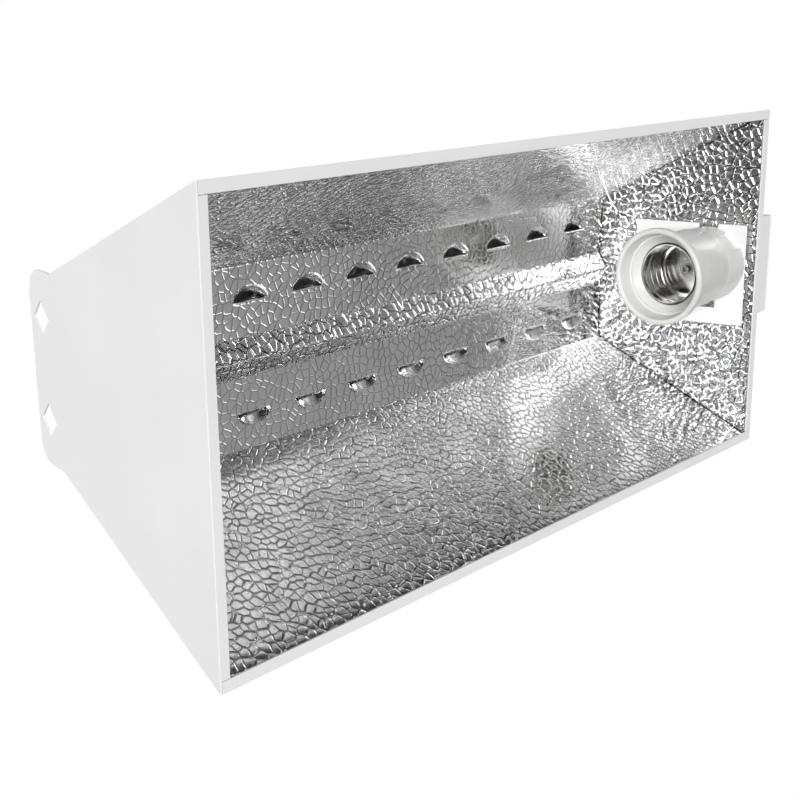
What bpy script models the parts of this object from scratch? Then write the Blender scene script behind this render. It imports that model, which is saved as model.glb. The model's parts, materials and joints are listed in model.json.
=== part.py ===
"""Grow lamp: a double-shelled, louvred reflector hood with a mogul lampholder.

Units are metres. The hood stands on its rim with the opening facing -Z, its long
side along X and the lampholder at the +X end. The origin is at the bottom centre
of the whole object, socket box included.
"""
import math

import bmesh
import bpy
from mathutils import Matrix, Vector

# ---- driving sizes --------------------------------------------------------

# Housing
RIM_LENGTH = 0.490
RIM_WIDTH = 0.225
ROOF_WIDTH = 0.103
HOOD_HEIGHT = 0.157
END_INSET = 0.035            # how far each end plate leans in at the roof
SHEET = 0.0010               # painted steel sheet
LIP = 0.006                  # return lip around the opening
FLANGE = 0.012               # end plate flange behind each side
FLANGE_FOOT = 0.012          # height where the flange starts
FLANGE_HEAD = 0.008          # gap from the flange's end to the roof

# Hanging ears
EAR_WIDTH = 0.104
EAR_HEIGHT = 0.027
EAR_CORNER_RADIUS = 0.013
HANGING_HOLE_SPACING = 0.0546
HANGING_HOLE_RISE = 0.0135
HANGING_HOLE_HALF_DIAGONAL = 0.0093

# Reflector
LINER = 0.0008               # hammered aluminium sheet
LINER_INSET = 0.0030         # from the end plate's outer face to the liner's inner face
LINER_RIM_SETBACK = 0.0031   # from the rim's edge to the side liner's lower edge
LINER_DEPTH = 0.110
LINER_ROOF_WIDTH = 0.098
LINER_ROOF_RISE = 0.002
LINER_FLANGE = 0.008
LINER_END_GAP = 0.0012
RIDGE_BASE_WIDTH = 0.0205
RIDGE_DEPTH = 0.007

# Louvres and roof vents
LOUVRE_COUNT = 9
LOUVRE_PITCH = 0.0431
LOUVRE_LENGTH = 0.0238
LOUVRE_REACH = 0.0080
LOUVRE_RISE = 0.0052
LOUVRE_LINE = 0.0300         # from the centre line to each louvre's slit
LOUVRE_SHIFT = 0.0105        # row centre, from the rim's middle toward the socket
LOUVRE_STEPS = 6             # flats around each louvre's half dome
LOUVRE_LEVELS = 2
VENT_LENGTH = 0.024
VENT_WIDTH = 0.005
VENT_LINE = 0.030

# Spacer brackets between the two shells
BRIDGE_HALF_WIDTH = 0.040
BRIDGE_FLANGE = 0.009
BRIDGE_SETBACK = 0.0035
BRIDGE_RIVET_SHARE = 0.6     # rivet's place, as a share of the bridge's half width

# Rivets
RIVET_RADIUS = 0.0016
RIVET_HEAD_RADIUS = 0.0034
RIVET_HEAD_HEIGHT = 0.0012
RIVET_TAIL_RADIUS = 0.0026
RIVET_TAIL_HEIGHT = 0.0014
RIVET_LOW_MARGIN = 0.022     # from the flange's foot to its lower rivet
RIVET_HIGH_MARGIN = 0.026    # from the flange's head to its upper rivet

# Socket bracket (slotted plate)
BRACKET_SHEET = 0.0012
BRACKET_STANDOFF = 0.0040
BRACKET_WIDTH = 0.0683
BRACKET_LENGTH = 0.0765
BRACKET_FOOT = 0.0085
BRACKET_SHIFT = -0.0026      # of the bracket and the box along Y
SLOT_WIDTH = 0.0132
SLOT_END_MARGIN = 0.0110     # from the slot's closed end to the plate's edge
STUD_RADIUS = 0.0020
STUD_COLLAR_RADIUS = 0.0040
STUD_EDGE = 0.0060
STUD_END = 0.0055            # how far the studs reach behind the box's back sheet
NUT_HEIGHT = 0.0024
NUT_RADIUS = 0.0040

# Lampholder
LAMP_AXIS_Y = -0.0095
MOUTH_INSET = 0.0005         # from the rim's plane up to the mouth's lowest point
MOUTH_FROM_RIM = 0.0805      # from the socket end's rim edge to the mouth
MOUTH_FLARE = 0.0053         # how much wider the mouth is than the body
MOUTH_DEPTH = 0.0060
HOLDER_RADIUS = 0.0262
HOLDER_LENGTH = 0.0500
HOLDER_FLOOR_AT = 0.0392
HOLDER_FLOOR = 0.0055
HOLDER_STEPS = 28            # sides of the turned porcelain
MOUTH_CREST = 0.0020         # from the mouth's rim in to its foremost circle
MOUTH_ROUNDING = 0.0014
MOUTH_TAPER = 0.0060         # length over which the mouth narrows to the body
MOUTH_SHOULDER = 0.0016
GROOVE_RIM = 0.0052          # from the mouth's rim in to the groove's edge
GROOVE_FOOT = 0.0065
GROOVE_FRONT = 0.0065
GROOVE_BACK = 0.0090         # depth at which the groove becomes the funnel
STEP_LENGTH = 0.0050         # rear stretch of the body with the cap's radius
STEP_SLOPE = 0.0010
CAP_STEP = 0.0008            # how much narrower the cap is than the body
CAP_WALL = 0.0042
CAP_FLOOR = 0.0050
NOTCH_LENGTH = 0.0080
NOTCH_DEPTH = 0.0030
NOTCH_WIDTH = 0.0140
NOTCH_TURNS = (45, 225)      # degrees about the lamp axis, from +Y toward +Z
THREAD_MAJOR = 0.0198
THREAD_MINOR = 0.0181
THREAD_PITCH = 0.00635
SHELL_FRONT = 0.0145
SHELL_WALL = 0.0006
SHELL_ROWS = 13              # rings of points along the thread
CONTACT_RADIUS = 0.0028
CONTACT_STEPS = 16
CONTACT_STEM_RADIUS = 0.0018
CONTACT_FRONT = 0.0355
CONTACT_TRAVEL = 0.0020
CONTACT_HEAD = 0.0013        # thickness of the eyelet
CONTACT_DIMPLE = 0.0012
EYELET_SHARES = (0.40, 0.55, 0.85)  # dimple's floor, its edge and the crown's edge
LEAF_SHEET = 0.0004
LEAF_WIDTH = 0.0048
LEAF_FOOT = 0.0030
LEAF_TIP = 0.0080
TERMINAL_SIZE = (0.0060, 0.0050, 0.0070)
TERMINAL_OFFSET = 0.0100
TERMINAL_BITE = 0.0018       # how far a lead's end goes into its terminal
NIPPLE_RADIUS = 0.0052
NIPPLE_WALL = 0.0012
SLIDE_TRAVEL = 0.0080
HOLDER_SCREW_RADIUS = 0.0018
HOLDER_SCREW_OFFSET = 0.0150
HOLDER_SCREW_SINK = 0.0035   # depth of the counterbore in the cap's back
HOLDER_SCREW_HEAD = 0.0022
HOLDER_SCREW_TIP = 0.0015    # how deep behind the floor's face the screws end
HEAD_CROWN = 0.0008          # height of a screw head's rounded edge
CLAMP_PLATE = 0.0020
CLAMP_HEIGHT = 0.020
CLAMP_CLEARANCE = 0.0008     # to the stud beside it at the end of the slide
CLAMP_CORNER_RADIUS = 0.0030
NIPPLE_REACH = 0.0040        # beyond the box's back sheet
SLOT_CLEARANCE = 0.0012      # between the nipple and the slots in the sheets

# Junction box
BOX_SHEET = 0.0012
BOX_PROJECTION = 0.0480      # from the rim's edge to the cover's face
BOX_FOOT = 0.0178
BOX_HEAD = 0.0830
TAB_WIDTH = 0.0100
TAB_MARGIN = 0.0040          # from a cover screw's centre to its tab's edge
COVER_SCREW_INSET = 0.0065
COVER_SCREW_LENGTH = 0.0082
EARTH_SCREW_DROP = 0.0120    # below the box's head, along the end plate
EARTH_HEAD_RADIUS = 0.0036
EARTH_HEAD_HEIGHT = 0.0026
EARTH_SCREW_TIP = 0.0018
GLAND_THREAD_RADIUS = 0.0080
GLAND_CABLE_RADIUS = 0.0042
GLAND_FLANGE_RADIUS = 0.0110
GLAND_FLANGE_HEIGHT = 0.0060
GLAND_THREAD_FOOT = 0.0075   # below the box's top wall
GLAND_THREAD_TOP = 0.0130
GLAND_CAP_FOOT = 0.0068
GLAND_CAP_SHOULDER = 0.0150
GLAND_CAP_TOP = 0.0185
GLAND_CAP_SHARES = (0.94, 0.62)  # cap's radius at its shoulder and top
GLAND_NUT_RADIUS = 0.0105
GLAND_NUT_HEIGHT = 0.0035

# Leads and wire connectors
WIRE_RADIUS = 0.0012
WIRE_SPREAD = 0.0017         # from the lamp axis to each lead inside the nipple
LEAD_BEND = 0.0075           # how far behind the nipple the leads turn up
LEAD_FAN = 1.3               # spread just before the nipple, as a share of WIRE_SPREAD
LEAD_TURN_SHARES = (0.8, 0.7, 0.25)  # of the bend, the spacing and the rise, part way round
LEAD_CLIMB_SHARE = 0.6       # of the rise, where a lead is upright
LEAD_TIP_OVERHANG = 0.0008   # of a lead's end, back over the terminal's face
CONNECTOR_LENGTH = 0.0180
CONNECTOR_RADIUS = 0.0050
CONNECTOR_RISE = 0.0160      # from the lamp axis to a connector's mouth
CONNECTOR_SPACING = 0.0124
CONNECTOR_SKIRT = 0.0040
CONNECTOR_SHARES = (0.62, 0.35)  # radius near the tip and at the tip
CONNECTOR_BORE_DEPTH = 0.0080
CONNECTOR_VENT_RADIUS = 0.0004

GAP = 0.0003                 # between pieces that touch
HOLE_CLEARANCE = 0.0003
DRILL_REACH = 0.0040         # of a hole's cutter to either side of its sheet
SCREW_STEPS = 10             # sides of rivets, screws and their holes
PIPE_STEPS = 20              # sides of the shell, the nipple and the gland

# ---- derived places -------------------------------------------------------

OVERALL_LENGTH = RIM_LENGTH + BOX_PROJECTION
X_PLAIN = -OVERALL_LENGTH / 2
X_SOCKET = X_PLAIN + RIM_LENGTH
X_COVER = X_PLAIN + OVERALL_LENGTH
END_LEAN = math.atan2(END_INSET, HOOD_HEIGHT)
SIDE_LEAN = math.atan2((RIM_WIDTH - ROOF_WIDTH) / 2, HOOD_HEIGHT)
LINER_FOOT = SHEET + GAP
LINER_LEAN = math.atan2(RIM_WIDTH / 2 - LINER_RIM_SETBACK - LINER_ROOF_WIDTH / 2,
                        LINER_DEPTH - LINER_FOOT)
ROOF_SLOPE_LENGTH = HOOD_HEIGHT / math.cos(END_LEAN)
LOUVRE_MIDDLE = (X_PLAIN + X_SOCKET) / 2 + LOUVRE_SHIFT
X_MOUTH = X_SOCKET - MOUTH_FROM_RIM
MOUTH_RADIUS = HOLDER_RADIUS + MOUTH_FLARE
LAMP_AXIS_Z = MOUTH_RADIUS + MOUTH_INSET
CAP_RADIUS = HOLDER_RADIUS - CAP_STEP
SHELL_LENGTH = HOLDER_FLOOR_AT - SHELL_FRONT - GAP
SHELL_BORE = THREAD_MAJOR + SHELL_WALL + GAP
CAP_CAVITY_RADIUS = CAP_RADIUS - CAP_WALL

PLAIN_FRAME = Matrix(((0, math.sin(END_LEAN), math.cos(END_LEAN), X_PLAIN),
                      (1, 0, 0, 0),
                      (0, math.cos(END_LEAN), -math.sin(END_LEAN), 0),
                      (0, 0, 0, 1)))
SOCKET_FRAME = Matrix(((0, -math.sin(END_LEAN), -math.cos(END_LEAN), X_SOCKET),
                       (-1, 0, 0, 0),
                       (0, math.cos(END_LEAN), -math.sin(END_LEAN), 0),
                       (0, 0, 0, 1)))


def plain_x(z, depth):
    """X of the plane that lies depth inside the plain end plate's outer face."""
    return X_PLAIN + z * math.tan(END_LEAN) + depth / math.cos(END_LEAN)


def socket_x(z, depth):
    """X of the plane that lies depth inside the socket end plate's outer face."""
    return X_SOCKET - z * math.tan(END_LEAN) - depth / math.cos(END_LEAN)


def side_y(z, depth):
    """Y of the plane that lies depth inside the housing's side."""
    return RIM_WIDTH / 2 - z * math.tan(SIDE_LEAN) - depth / math.cos(SIDE_LEAN)


def liner_y(z, depth):
    """Y of the plane that lies depth outside the side liner's inner face."""
    foot = RIM_WIDTH / 2 - LINER_RIM_SETBACK
    return foot - (z - LINER_FOOT) * math.tan(LINER_LEAN) + depth / math.cos(LINER_LEAN)


def slope_at(z, depth):
    """Distance up the end plate's slope where height z is reached at this depth."""
    return (z + depth * math.sin(END_LEAN)) / math.cos(END_LEAN)


# ---- materials ------------------------------------------------------------

MATERIALS = {
    "white_enamel": ((0.86, 0.86, 0.86), 0.35, 0.0),
    "hammered_aluminium": ((0.80, 0.81, 0.82), 0.18, 1.0),
    "porcelain": ((0.83, 0.83, 0.82), 0.22, 0.0),
    "nickel_brass": ((0.74, 0.72, 0.68), 0.22, 1.0),
    "brass": ((0.78, 0.60, 0.30), 0.30, 1.0),
    "zinc_steel": ((0.62, 0.63, 0.65), 0.35, 1.0),
    "black_nylon": ((0.03, 0.03, 0.03), 0.50, 0.0),
    "silicone_white": ((0.80, 0.79, 0.76), 0.60, 0.0),
    "silicone_black": ((0.04, 0.04, 0.04), 0.60, 0.0),
    "connector_ceramic": ((0.78, 0.74, 0.66), 0.55, 0.0),
}


def material(name):
    """The named Principled material, made the first time it is asked for."""
    found = bpy.data.materials.get(name)
    if found:
        return found
    colour, roughness, metallic = MATERIALS[name]
    made = bpy.data.materials.new(name)
    made.use_nodes = True
    shader = made.node_tree.nodes["Principled BSDF"]
    shader.inputs["Base Color"].default_value = (*colour, 1.0)
    shader.inputs["Roughness"].default_value = roughness
    shader.inputs["Metallic"].default_value = metallic
    return made


# ---- modelling helpers ----------------------------------------------------

def add_object(name, bm, slot, parent=None, frame=None, smooth=False):
    """Finish a bmesh as a named object with its material, parent and place."""
    bmesh.ops.recalc_face_normals(bm, faces=bm.faces)
    mesh = bpy.data.meshes.new(name)
    bm.to_mesh(mesh)
    bm.free()
    mesh.materials.append(material(slot))
    if smooth:
        mesh.shade_smooth()
        mesh.set_sharp_from_angle(angle=math.radians(35))
    made = bpy.data.objects.new(name, mesh)
    bpy.context.collection.objects.link(made)
    if parent:
        made.parent = parent
    if frame:
        made.matrix_local = frame
    return made


def combine(target, tools, operation):
    """Boolean the tools into the target, then remove the tools."""
    bpy.context.view_layer.update()
    for tool in tools:
        modifier = target.modifiers.new(operation.lower(), "BOOLEAN")
        modifier.operation = operation
        modifier.solver = "EXACT"
        modifier.object = tool
    bpy.context.view_layer.update()
    evaluated = target.evaluated_get(bpy.context.evaluated_depsgraph_get())
    mesh = bpy.data.meshes.new_from_object(evaluated)
    mesh.name = target.name
    target.modifiers.clear()
    target.data = mesh
    for tool in tools:
        bpy.data.objects.remove(tool)
    return target


def cut(target, tools):
    return combine(target, tools, "DIFFERENCE")


def fuse(target, tools):
    return combine(target, tools, "UNION")


def arc(centre, radius, start, stop, steps):
    """Points on a circle from angle start to stop, in degrees."""
    points = []
    for step in range(steps + 1):
        angle = math.radians(start + (stop - start) * step / steps)
        points.append((centre[0] + radius * math.cos(angle),
                       centre[1] + radius * math.sin(angle)))
    return points


def circle(centre, radius, steps=12):
    return arc(centre, radius, 0, 360, steps)[:-1]


def obround(centre, length, width, steps=5):
    """A slot's outline with round ends, long way along the first axis."""
    reach = (length - width) / 2
    right = arc((centre[0] + reach, centre[1]), width / 2, -90, 90, steps)
    left = arc((centre[0] - reach, centre[1]), width / 2, 90, 270, steps)
    return right + left


def plate(name, loops, low, high, slot, parent=None, frame=None):
    """A flat sheet: the first loop is its outline, the others are holes."""
    bm = bmesh.new()
    edges = []
    for loop in loops:
        verts = [bm.verts.new((a, b, low)) for a, b in loop]
        for index, vert in enumerate(verts):
            edges.append(bm.edges.new((vert, verts[(index + 1) % len(verts)])))
    filled = bmesh.ops.triangle_fill(bm, edges=edges, use_beauty=True)
    faces = [item for item in filled["geom"] if isinstance(item, bmesh.types.BMFace)]
    grown = bmesh.ops.extrude_face_region(bm, geom=faces, use_keep_orig=True)
    moved = [item for item in grown["geom"] if isinstance(item, bmesh.types.BMVert)]
    bmesh.ops.translate(bm, verts=moved, vec=(0, 0, high - low))
    return add_object(name, bm, slot, parent, frame)


def sheet_outline(points, thickness):
    """Close an open polyline into a strip by offsetting it to its left."""
    offset = []
    for index, point in enumerate(points):
        here = Vector(point)
        before = (here - Vector(points[index - 1])).normalized() if index else None
        after = None
        if index < len(points) - 1:
            after = (Vector(points[index + 1]) - here).normalized()
        before = before or after
        after = after or before
        normal = Vector((-before.y, before.x)) + Vector((-after.y, after.x))
        normal.normalize()
        reach = thickness / normal.dot(Vector((-after.y, after.x)))
        offset.append(tuple(here + normal * reach))
    return list(points) + offset[::-1]


def bar_along_x(name, outline, low_x, high_x, slot, parent=None):
    """A bar of constant YZ outline whose ends follow low_x(z) and high_x(z)."""
    bm = bmesh.new()
    low = [bm.verts.new((low_x(z), y, z)) for y, z in outline]
    high = [bm.verts.new((high_x(z), y, z)) for y, z in outline]
    bm.faces.new(low)
    bm.faces.new(high)
    for index in range(len(outline)):
        after = (index + 1) % len(outline)
        bm.faces.new((low[index], low[after], high[after], high[index]))
    return add_object(name, bm, slot, parent)


def block(name, corners, slot, parent=None, frame=None):
    """A six-sided block from corners[i][j][k], each index 0 or 1."""
    bm = bmesh.new()
    verts = {}
    for i in range(2):
        for j in range(2):
            for k in range(2):
                verts[i, j, k] = bm.verts.new(corners[i][j][k])
    for side in range(2):
        bm.faces.new([verts[side, 0, 0], verts[side, 1, 0], verts[side, 1, 1], verts[side, 0, 1]])
        bm.faces.new([verts[0, side, 0], verts[1, side, 0], verts[1, side, 1], verts[0, side, 1]])
        bm.faces.new([verts[0, 0, side], verts[1, 0, side], verts[1, 1, side], verts[0, 1, side]])
    return add_object(name, bm, slot, parent, frame)


def box(name, low, high, slot, parent=None, frame=None):
    """A rectangular block between two corners."""
    ends = (low, high)
    corners = [[[(ends[i][0], ends[j][1], ends[k][2]) for k in range(2)]
                for j in range(2)] for i in range(2)]
    return block(name, corners, slot, parent, frame)


def lathe(name, profile, steps, slot, parent=None, frame=None, shape=None):
    """Turn (along, radius) points about local X.

    A profile that starts and ends on the axis is solid, and any other is closed
    on itself. shape, if given, changes a point's radius with its angle.
    """
    solid = profile[0][1] == 0 and profile[-1][1] == 0
    inner = profile[1:-1] if solid else profile
    bm = bmesh.new()
    rings = []
    for along, radius in inner:
        ring = []
        for step in range(steps):
            angle = 2 * math.pi * step / steps
            reach = shape(along, radius, angle) if shape else radius
            ring.append(bm.verts.new((along, reach * math.cos(angle), reach * math.sin(angle))))
        rings.append(ring)
    pairs = list(zip(rings, rings[1:]))
    if not solid:
        pairs.append((rings[-1], rings[0]))
    for first, second in pairs:
        for step in range(steps):
            after = (step + 1) % steps
            bm.faces.new((first[step], first[after], second[after], second[step]))
    if solid:
        for end, ring in ((profile[0], rings[0]), (profile[-1], rings[-1])):
            if abs(end[0] - ring[0].co.x) < 1e-9:
                bm.faces.new(ring)
                continue
            tip = bm.verts.new((end[0], 0, 0))
            for step in range(steps):
                bm.faces.new((ring[step], ring[(step + 1) % steps], tip))
    return add_object(name, bm, slot, parent, frame, smooth=True)


def rod(name, start, stop, radius, steps=12, slot="zinc_steel", parent=None, frame=None):
    """A plain cylinder along local X."""
    profile = [(start, 0), (start, radius), (stop, radius), (stop, 0)]
    return lathe(name, profile, steps, slot, parent, frame)


def fastener_frame(origin, direction):
    """A frame whose X axis runs along a direction."""
    turn = Vector(direction).normalized().to_track_quat("X", "Z")
    return Matrix.Translation(origin) @ turn.to_matrix().to_4x4()


def new_empty(name, location, parent=None):
    made = bpy.data.objects.new(name, None)
    bpy.context.collection.objects.link(made)
    made.parent = parent
    made.location = location
    return made


# ---- housing --------------------------------------------------------------

def side_rivet_places():
    """Name, point on the housing's side and outward direction of each side rivet."""
    places = []
    depth = SHEET + (FLANGE - SHEET) / 2
    heights = (FLANGE_FOOT + RIVET_LOW_MARGIN, HOOD_HEIGHT - FLANGE_HEAD - RIVET_HIGH_MARGIN)
    for end, x_at in (("plain", plain_x), ("socket", socket_x)):
        for side, sign in (("left", 1), ("right", -1)):
            for level, z in zip(("low", "high"), heights):
                point = Vector((x_at(z, depth), sign * side_y(z, 0), z))
                outward = Vector((0, sign * math.cos(SIDE_LEAN), math.sin(SIDE_LEAN)))
                places.append((f"rivet_{end}_{side}_{level}", point, outward))
    return places


def bridge_x(end):
    """X of the upright web of the spacer bracket at one end."""
    if end == "plain":
        return plain_x(HOOD_HEIGHT, SHEET) + BRIDGE_SETBACK
    return socket_x(HOOD_HEIGHT, SHEET) - BRIDGE_SETBACK


def roof_rivet_places():
    """Name, point on the roof and outward direction of each spacer rivet."""
    places = []
    for end, sign_x in (("plain", 1), ("socket", -1)):
        x = bridge_x(end) + sign_x * (SHEET + BRIDGE_FLANGE) / 2
        for side, sign in (("left", 1), ("right", -1)):
            point = Vector((x, sign * BRIDGE_HALF_WIDTH * BRIDGE_RIVET_SHARE, HOOD_HEIGHT))
            places.append((f"rivet_roof_{end}_{side}", point, Vector((0, 0, 1))))
    return places


def round_drill(frame, radius, steps=SCREW_STEPS, parent=None):
    """A round cutter along the frame's X axis, centred on its origin."""
    return rod("drill", -DRILL_REACH, DRILL_REACH, radius, steps, parent=parent, frame=frame)


def rivet_drill(point, outward):
    return round_drill(fastener_frame(point, outward), RIVET_RADIUS + HOLE_CLEARANCE)


def build_housing_shell():
    half = RIM_WIDTH / 2
    lip_edge = half - LIP
    roof = ROOF_WIDTH / 2
    face = [(-lip_edge, 0), (-half, 0), (-roof, HOOD_HEIGHT),
            (roof, HOOD_HEIGHT), (half, 0), (lip_edge, 0)]
    outline = sheet_outline(face[::-1], SHEET)
    depth = SHEET + GAP
    shell = bar_along_x("housing_shell", outline, lambda z: plain_x(z, depth),
                        lambda z: socket_x(z, depth), "white_enamel")
    holes = []
    for _, point, outward in side_rivet_places() + roof_rivet_places():
        holes.append(rivet_drill(point, outward))
    for x in louvre_centres():
        for sign in (1, -1):
            loop = obround((x, sign * VENT_LINE), VENT_LENGTH, VENT_WIDTH, steps=4)
            holes.append(plate("vent", [loop], HOOD_HEIGHT - 2 * SHEET,
                               HOOD_HEIGHT + SHEET, "white_enamel"))
    return cut(shell, holes)


def ear_outline():
    """Half of the end plate's outline, from the foot up the +a side to the ear's top."""
    foot = SHEET * math.tan(END_LEAN)
    top = ROOF_SLOPE_LENGTH + EAR_HEIGHT
    foot_half = side_y(foot * math.cos(END_LEAN), 0)
    corner = (EAR_WIDTH / 2 - EAR_CORNER_RADIUS, top - EAR_CORNER_RADIUS)
    side = [(foot_half, foot), (ROOF_WIDTH / 2, ROOF_SLOPE_LENGTH),
            (EAR_WIDTH / 2, ROOF_SLOPE_LENGTH + SHEET)]
    return side + arc(corner, EAR_CORNER_RADIUS, 0, 90, 5)


def hanging_holes():
    loops = []
    rise = ROOF_SLOPE_LENGTH + HANGING_HOLE_RISE
    for sign in (1, -1):
        centre = (sign * HANGING_HOLE_SPACING / 2, rise)
        loops.append(circle(centre, HANGING_HOLE_HALF_DIAGONAL, 4))
    return loops


def end_flange(name, x_at, sign):
    """The fold of an end plate that lies behind one side of the housing."""
    heights = (FLANGE_FOOT, HOOD_HEIGHT - FLANGE_HEAD)
    depths = (SHEET / 2, FLANGE)
    insets = (SHEET + GAP, 2 * SHEET + GAP)
    corners = [[[(x_at(z, depth), sign * side_y(z, inset), z) for inset in insets]
                for depth in depths] for z in heights]
    return block(name, corners, "white_enamel")


def end_lip(name, x_at, x_edge):
    """The fold of an end plate that lies under the reflector at the opening."""
    half = RIM_WIDTH / 2 - LIP - GAP
    corners = [[[(x_at(z, SHEET / 2), y, z), (x_edge, y, z)] for y in (-half, half)]
               for z in (0, SHEET)]
    return block(name, corners, "white_enamel")


def build_end_plate(name, frame, x_at, x_edge, holes):
    half = ear_outline()
    outline = half + [(-a, b) for a, b in half[::-1]]
    made = plate(name, [outline] + hanging_holes() + holes, 0, SHEET, "white_enamel", frame=frame)
    folds = [end_flange("fold", x_at, 1), end_flange("fold", x_at, -1),
             end_lip("fold", x_at, x_edge)]
    fuse(made, folds)
    drills = []
    for _, point, outward in side_rivet_places():
        if (point.x < 0) == (x_edge < 0):
            drills.append(rivet_drill(point, outward))
    return cut(made, drills)


def build_rivets():
    for name, point, outward in side_rivet_places() + roof_rivet_places():
        crown = GAP + RIVET_HEAD_HEIGHT
        under = -(2 * SHEET + 2 * GAP)
        tail = under - RIVET_TAIL_HEIGHT
        profile = [(crown, 0), (crown, RIVET_HEAD_RADIUS - RIVET_HEAD_HEIGHT),
                   (GAP + RIVET_HEAD_HEIGHT / 2, RIVET_HEAD_RADIUS - RIVET_HEAD_HEIGHT / 4),
                   (GAP, RIVET_HEAD_RADIUS), (GAP, RIVET_RADIUS), (under, RIVET_RADIUS),
                   (under, RIVET_TAIL_RADIUS), (tail, RIVET_TAIL_RADIUS), (tail, 0)]
        lathe(name, profile, SCREW_STEPS, "zinc_steel", frame=fastener_frame(point, outward))


# ---- reflector ------------------------------------------------------------

def louvre_centres():
    first = LOUVRE_MIDDLE - LOUVRE_PITCH * (LOUVRE_COUNT - 1) / 2
    return [first + LOUVRE_PITCH * index for index in range(LOUVRE_COUNT)]


def roof_strip_z(y):
    """Height of a vent strip's inner face at a distance y from the centre line."""
    outer = LINER_ROOF_WIDTH / 2
    inner = RIDGE_BASE_WIDTH / 2
    return LINER_DEPTH + LINER_ROOF_RISE * (outer - abs(y)) / (outer - inner)


def build_reflector_side(name, sign):
    top = LINER_DEPTH - GAP - LINER * math.sin(LINER_LEAN)
    face = [(sign * liner_y(LINER_FOOT, 0), LINER_FOOT), (sign * liner_y(top, 0), top)]
    if sign > 0:
        face = face[::-1]
    outline = sheet_outline(face, LINER)
    depth = LINER_INSET + GAP
    return bar_along_x(name, outline, lambda z: plain_x(z, depth),
                       lambda z: socket_x(z, depth), "hammered_aluminium")


def half_dome(bm, x, line, sign, shrink):
    """A quarter of an ellipsoid that stands on a vent strip, flat side to the ridge."""
    reach = LOUVRE_REACH - shrink
    length = LOUVRE_LENGTH / 2 - shrink
    rise = LOUVRE_RISE - shrink
    floor = roof_strip_z(line) - LINER
    rings = []
    for level in range(LOUVRE_LEVELS):
        tilt = math.pi / 2 * level / LOUVRE_LEVELS
        ring = []
        for step in range(LOUVRE_STEPS + 1):
            angle = math.pi * step / LOUVRE_STEPS
            ring.append(bm.verts.new((x + length * math.cos(angle) * math.cos(tilt),
                                      sign * (line + reach * math.sin(angle) * math.cos(tilt)),
                                      floor + LINER + rise * math.sin(tilt))))
        rings.append(ring)
    foot = [bm.verts.new((vert.co.x, vert.co.y, floor)) for vert in rings[0]]
    tip = bm.verts.new((x, sign * line, floor + LINER + rise))
    rings.insert(0, foot)
    for first, second in zip(rings, rings[1:]):
        for step in range(LOUVRE_STEPS):
            bm.faces.new((first[step], first[step + 1], second[step + 1], second[step]))
    for step in range(LOUVRE_STEPS):
        bm.faces.new((rings[-1][step], rings[-1][step + 1], tip))
    bm.faces.new(foot)
    flat = [ring[0] for ring in rings] + [tip] + [ring[-1] for ring in rings[::-1]]
    bm.faces.new(flat)


def louvre_domes(name, line, shrink):
    """All louvres of both rows, as separate domes in one tool."""
    bm = bmesh.new()
    for x in louvre_centres():
        for sign in (1, -1):
            half_dome(bm, x, line, sign, shrink)
    return add_object(name, bm, "hammered_aluminium")


def build_reflector_roof():
    fold_y = LINER_ROOF_WIDTH / 2 + (LINER + GAP) / math.cos(LINER_LEAN)
    drop = LINER_FLANGE * math.cos(LINER_LEAN)
    spread = LINER_FLANGE * math.sin(LINER_LEAN)
    base = RIDGE_BASE_WIDTH / 2
    peak = LINER_DEPTH + LINER_ROOF_RISE
    half = [(fold_y + spread, LINER_DEPTH - drop), (fold_y, LINER_DEPTH), (base, peak)]
    face = half + [(0, peak - RIDGE_DEPTH)] + [(-y, z) for y, z in half[::-1]]
    outline = sheet_outline(face[::-1], LINER)
    depth = LINER_INSET + LINER_END_GAP
    return bar_along_x("reflector_roof", outline, lambda z: plain_x(z, depth),
                       lambda z: socket_x(z, depth), "hammered_aluminium")


def build_louvres(roof):
    outside = louvre_domes("dome", LOUVRE_LINE + GAP, -LINER)
    fuse(roof, [outside])
    inside = louvre_domes("dome", LOUVRE_LINE, 0)
    return cut(roof, [inside])


def build_reflector_end(name, frame, holes):
    heights = (LINER_FOOT, LINER_DEPTH + LINER_ROOF_RISE + LINER)
    outline = [(liner_y(z, 0), slope_at(z, LINER_INSET)) for z in heights]
    outline += [(-a, b) for a, b in outline[::-1]]
    return plate(name, [outline] + holes, LINER_INSET - LINER, LINER_INSET,
                 "hammered_aluminium", frame=frame)


def build_bridge(end, toward_middle):
    """A channel between the outer roof and the reflector's roof."""
    web = bridge_x(end)
    low = LINER_DEPTH + LINER_ROOF_RISE + LINER + GAP
    high = HOOD_HEIGHT - SHEET - GAP
    edge = web + toward_middle * BRIDGE_FLANGE
    path = [(edge, low), (web, low), (web, high), (edge, high)]
    if toward_middle > 0:
        path = path[::-1]
    outline = sheet_outline(path, SHEET)
    upright = Matrix(((1, 0, 0, 0), (0, 0, -1, 0), (0, 1, 0, 0), (0, 0, 0, 1)))
    made = plate(f"reflector_spacer_{end}", [outline], -BRIDGE_HALF_WIDTH, BRIDGE_HALF_WIDTH,
                 "zinc_steel", frame=upright)
    drills = []
    for name, point, outward in roof_rivet_places():
        if end in name:
            drills.append(rivet_drill(point, outward))
    return cut(made, drills)


# ---- socket bracket and junction box --------------------------------------

def bracket_edges():
    """The bracket's outline limits in the socket frame: a low, a high, b low, b high."""
    middle = -BRACKET_SHIFT
    return (middle - BRACKET_WIDTH / 2, middle + BRACKET_WIDTH / 2,
            BRACKET_FOOT, BRACKET_FOOT + BRACKET_LENGTH)


def bracket_depths():
    back = LINER_INSET + BRACKET_STANDOFF
    return back, back + BRACKET_SHEET


def lamp_slope(depth):
    return slope_at(LAMP_AXIS_Z, depth)


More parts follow.
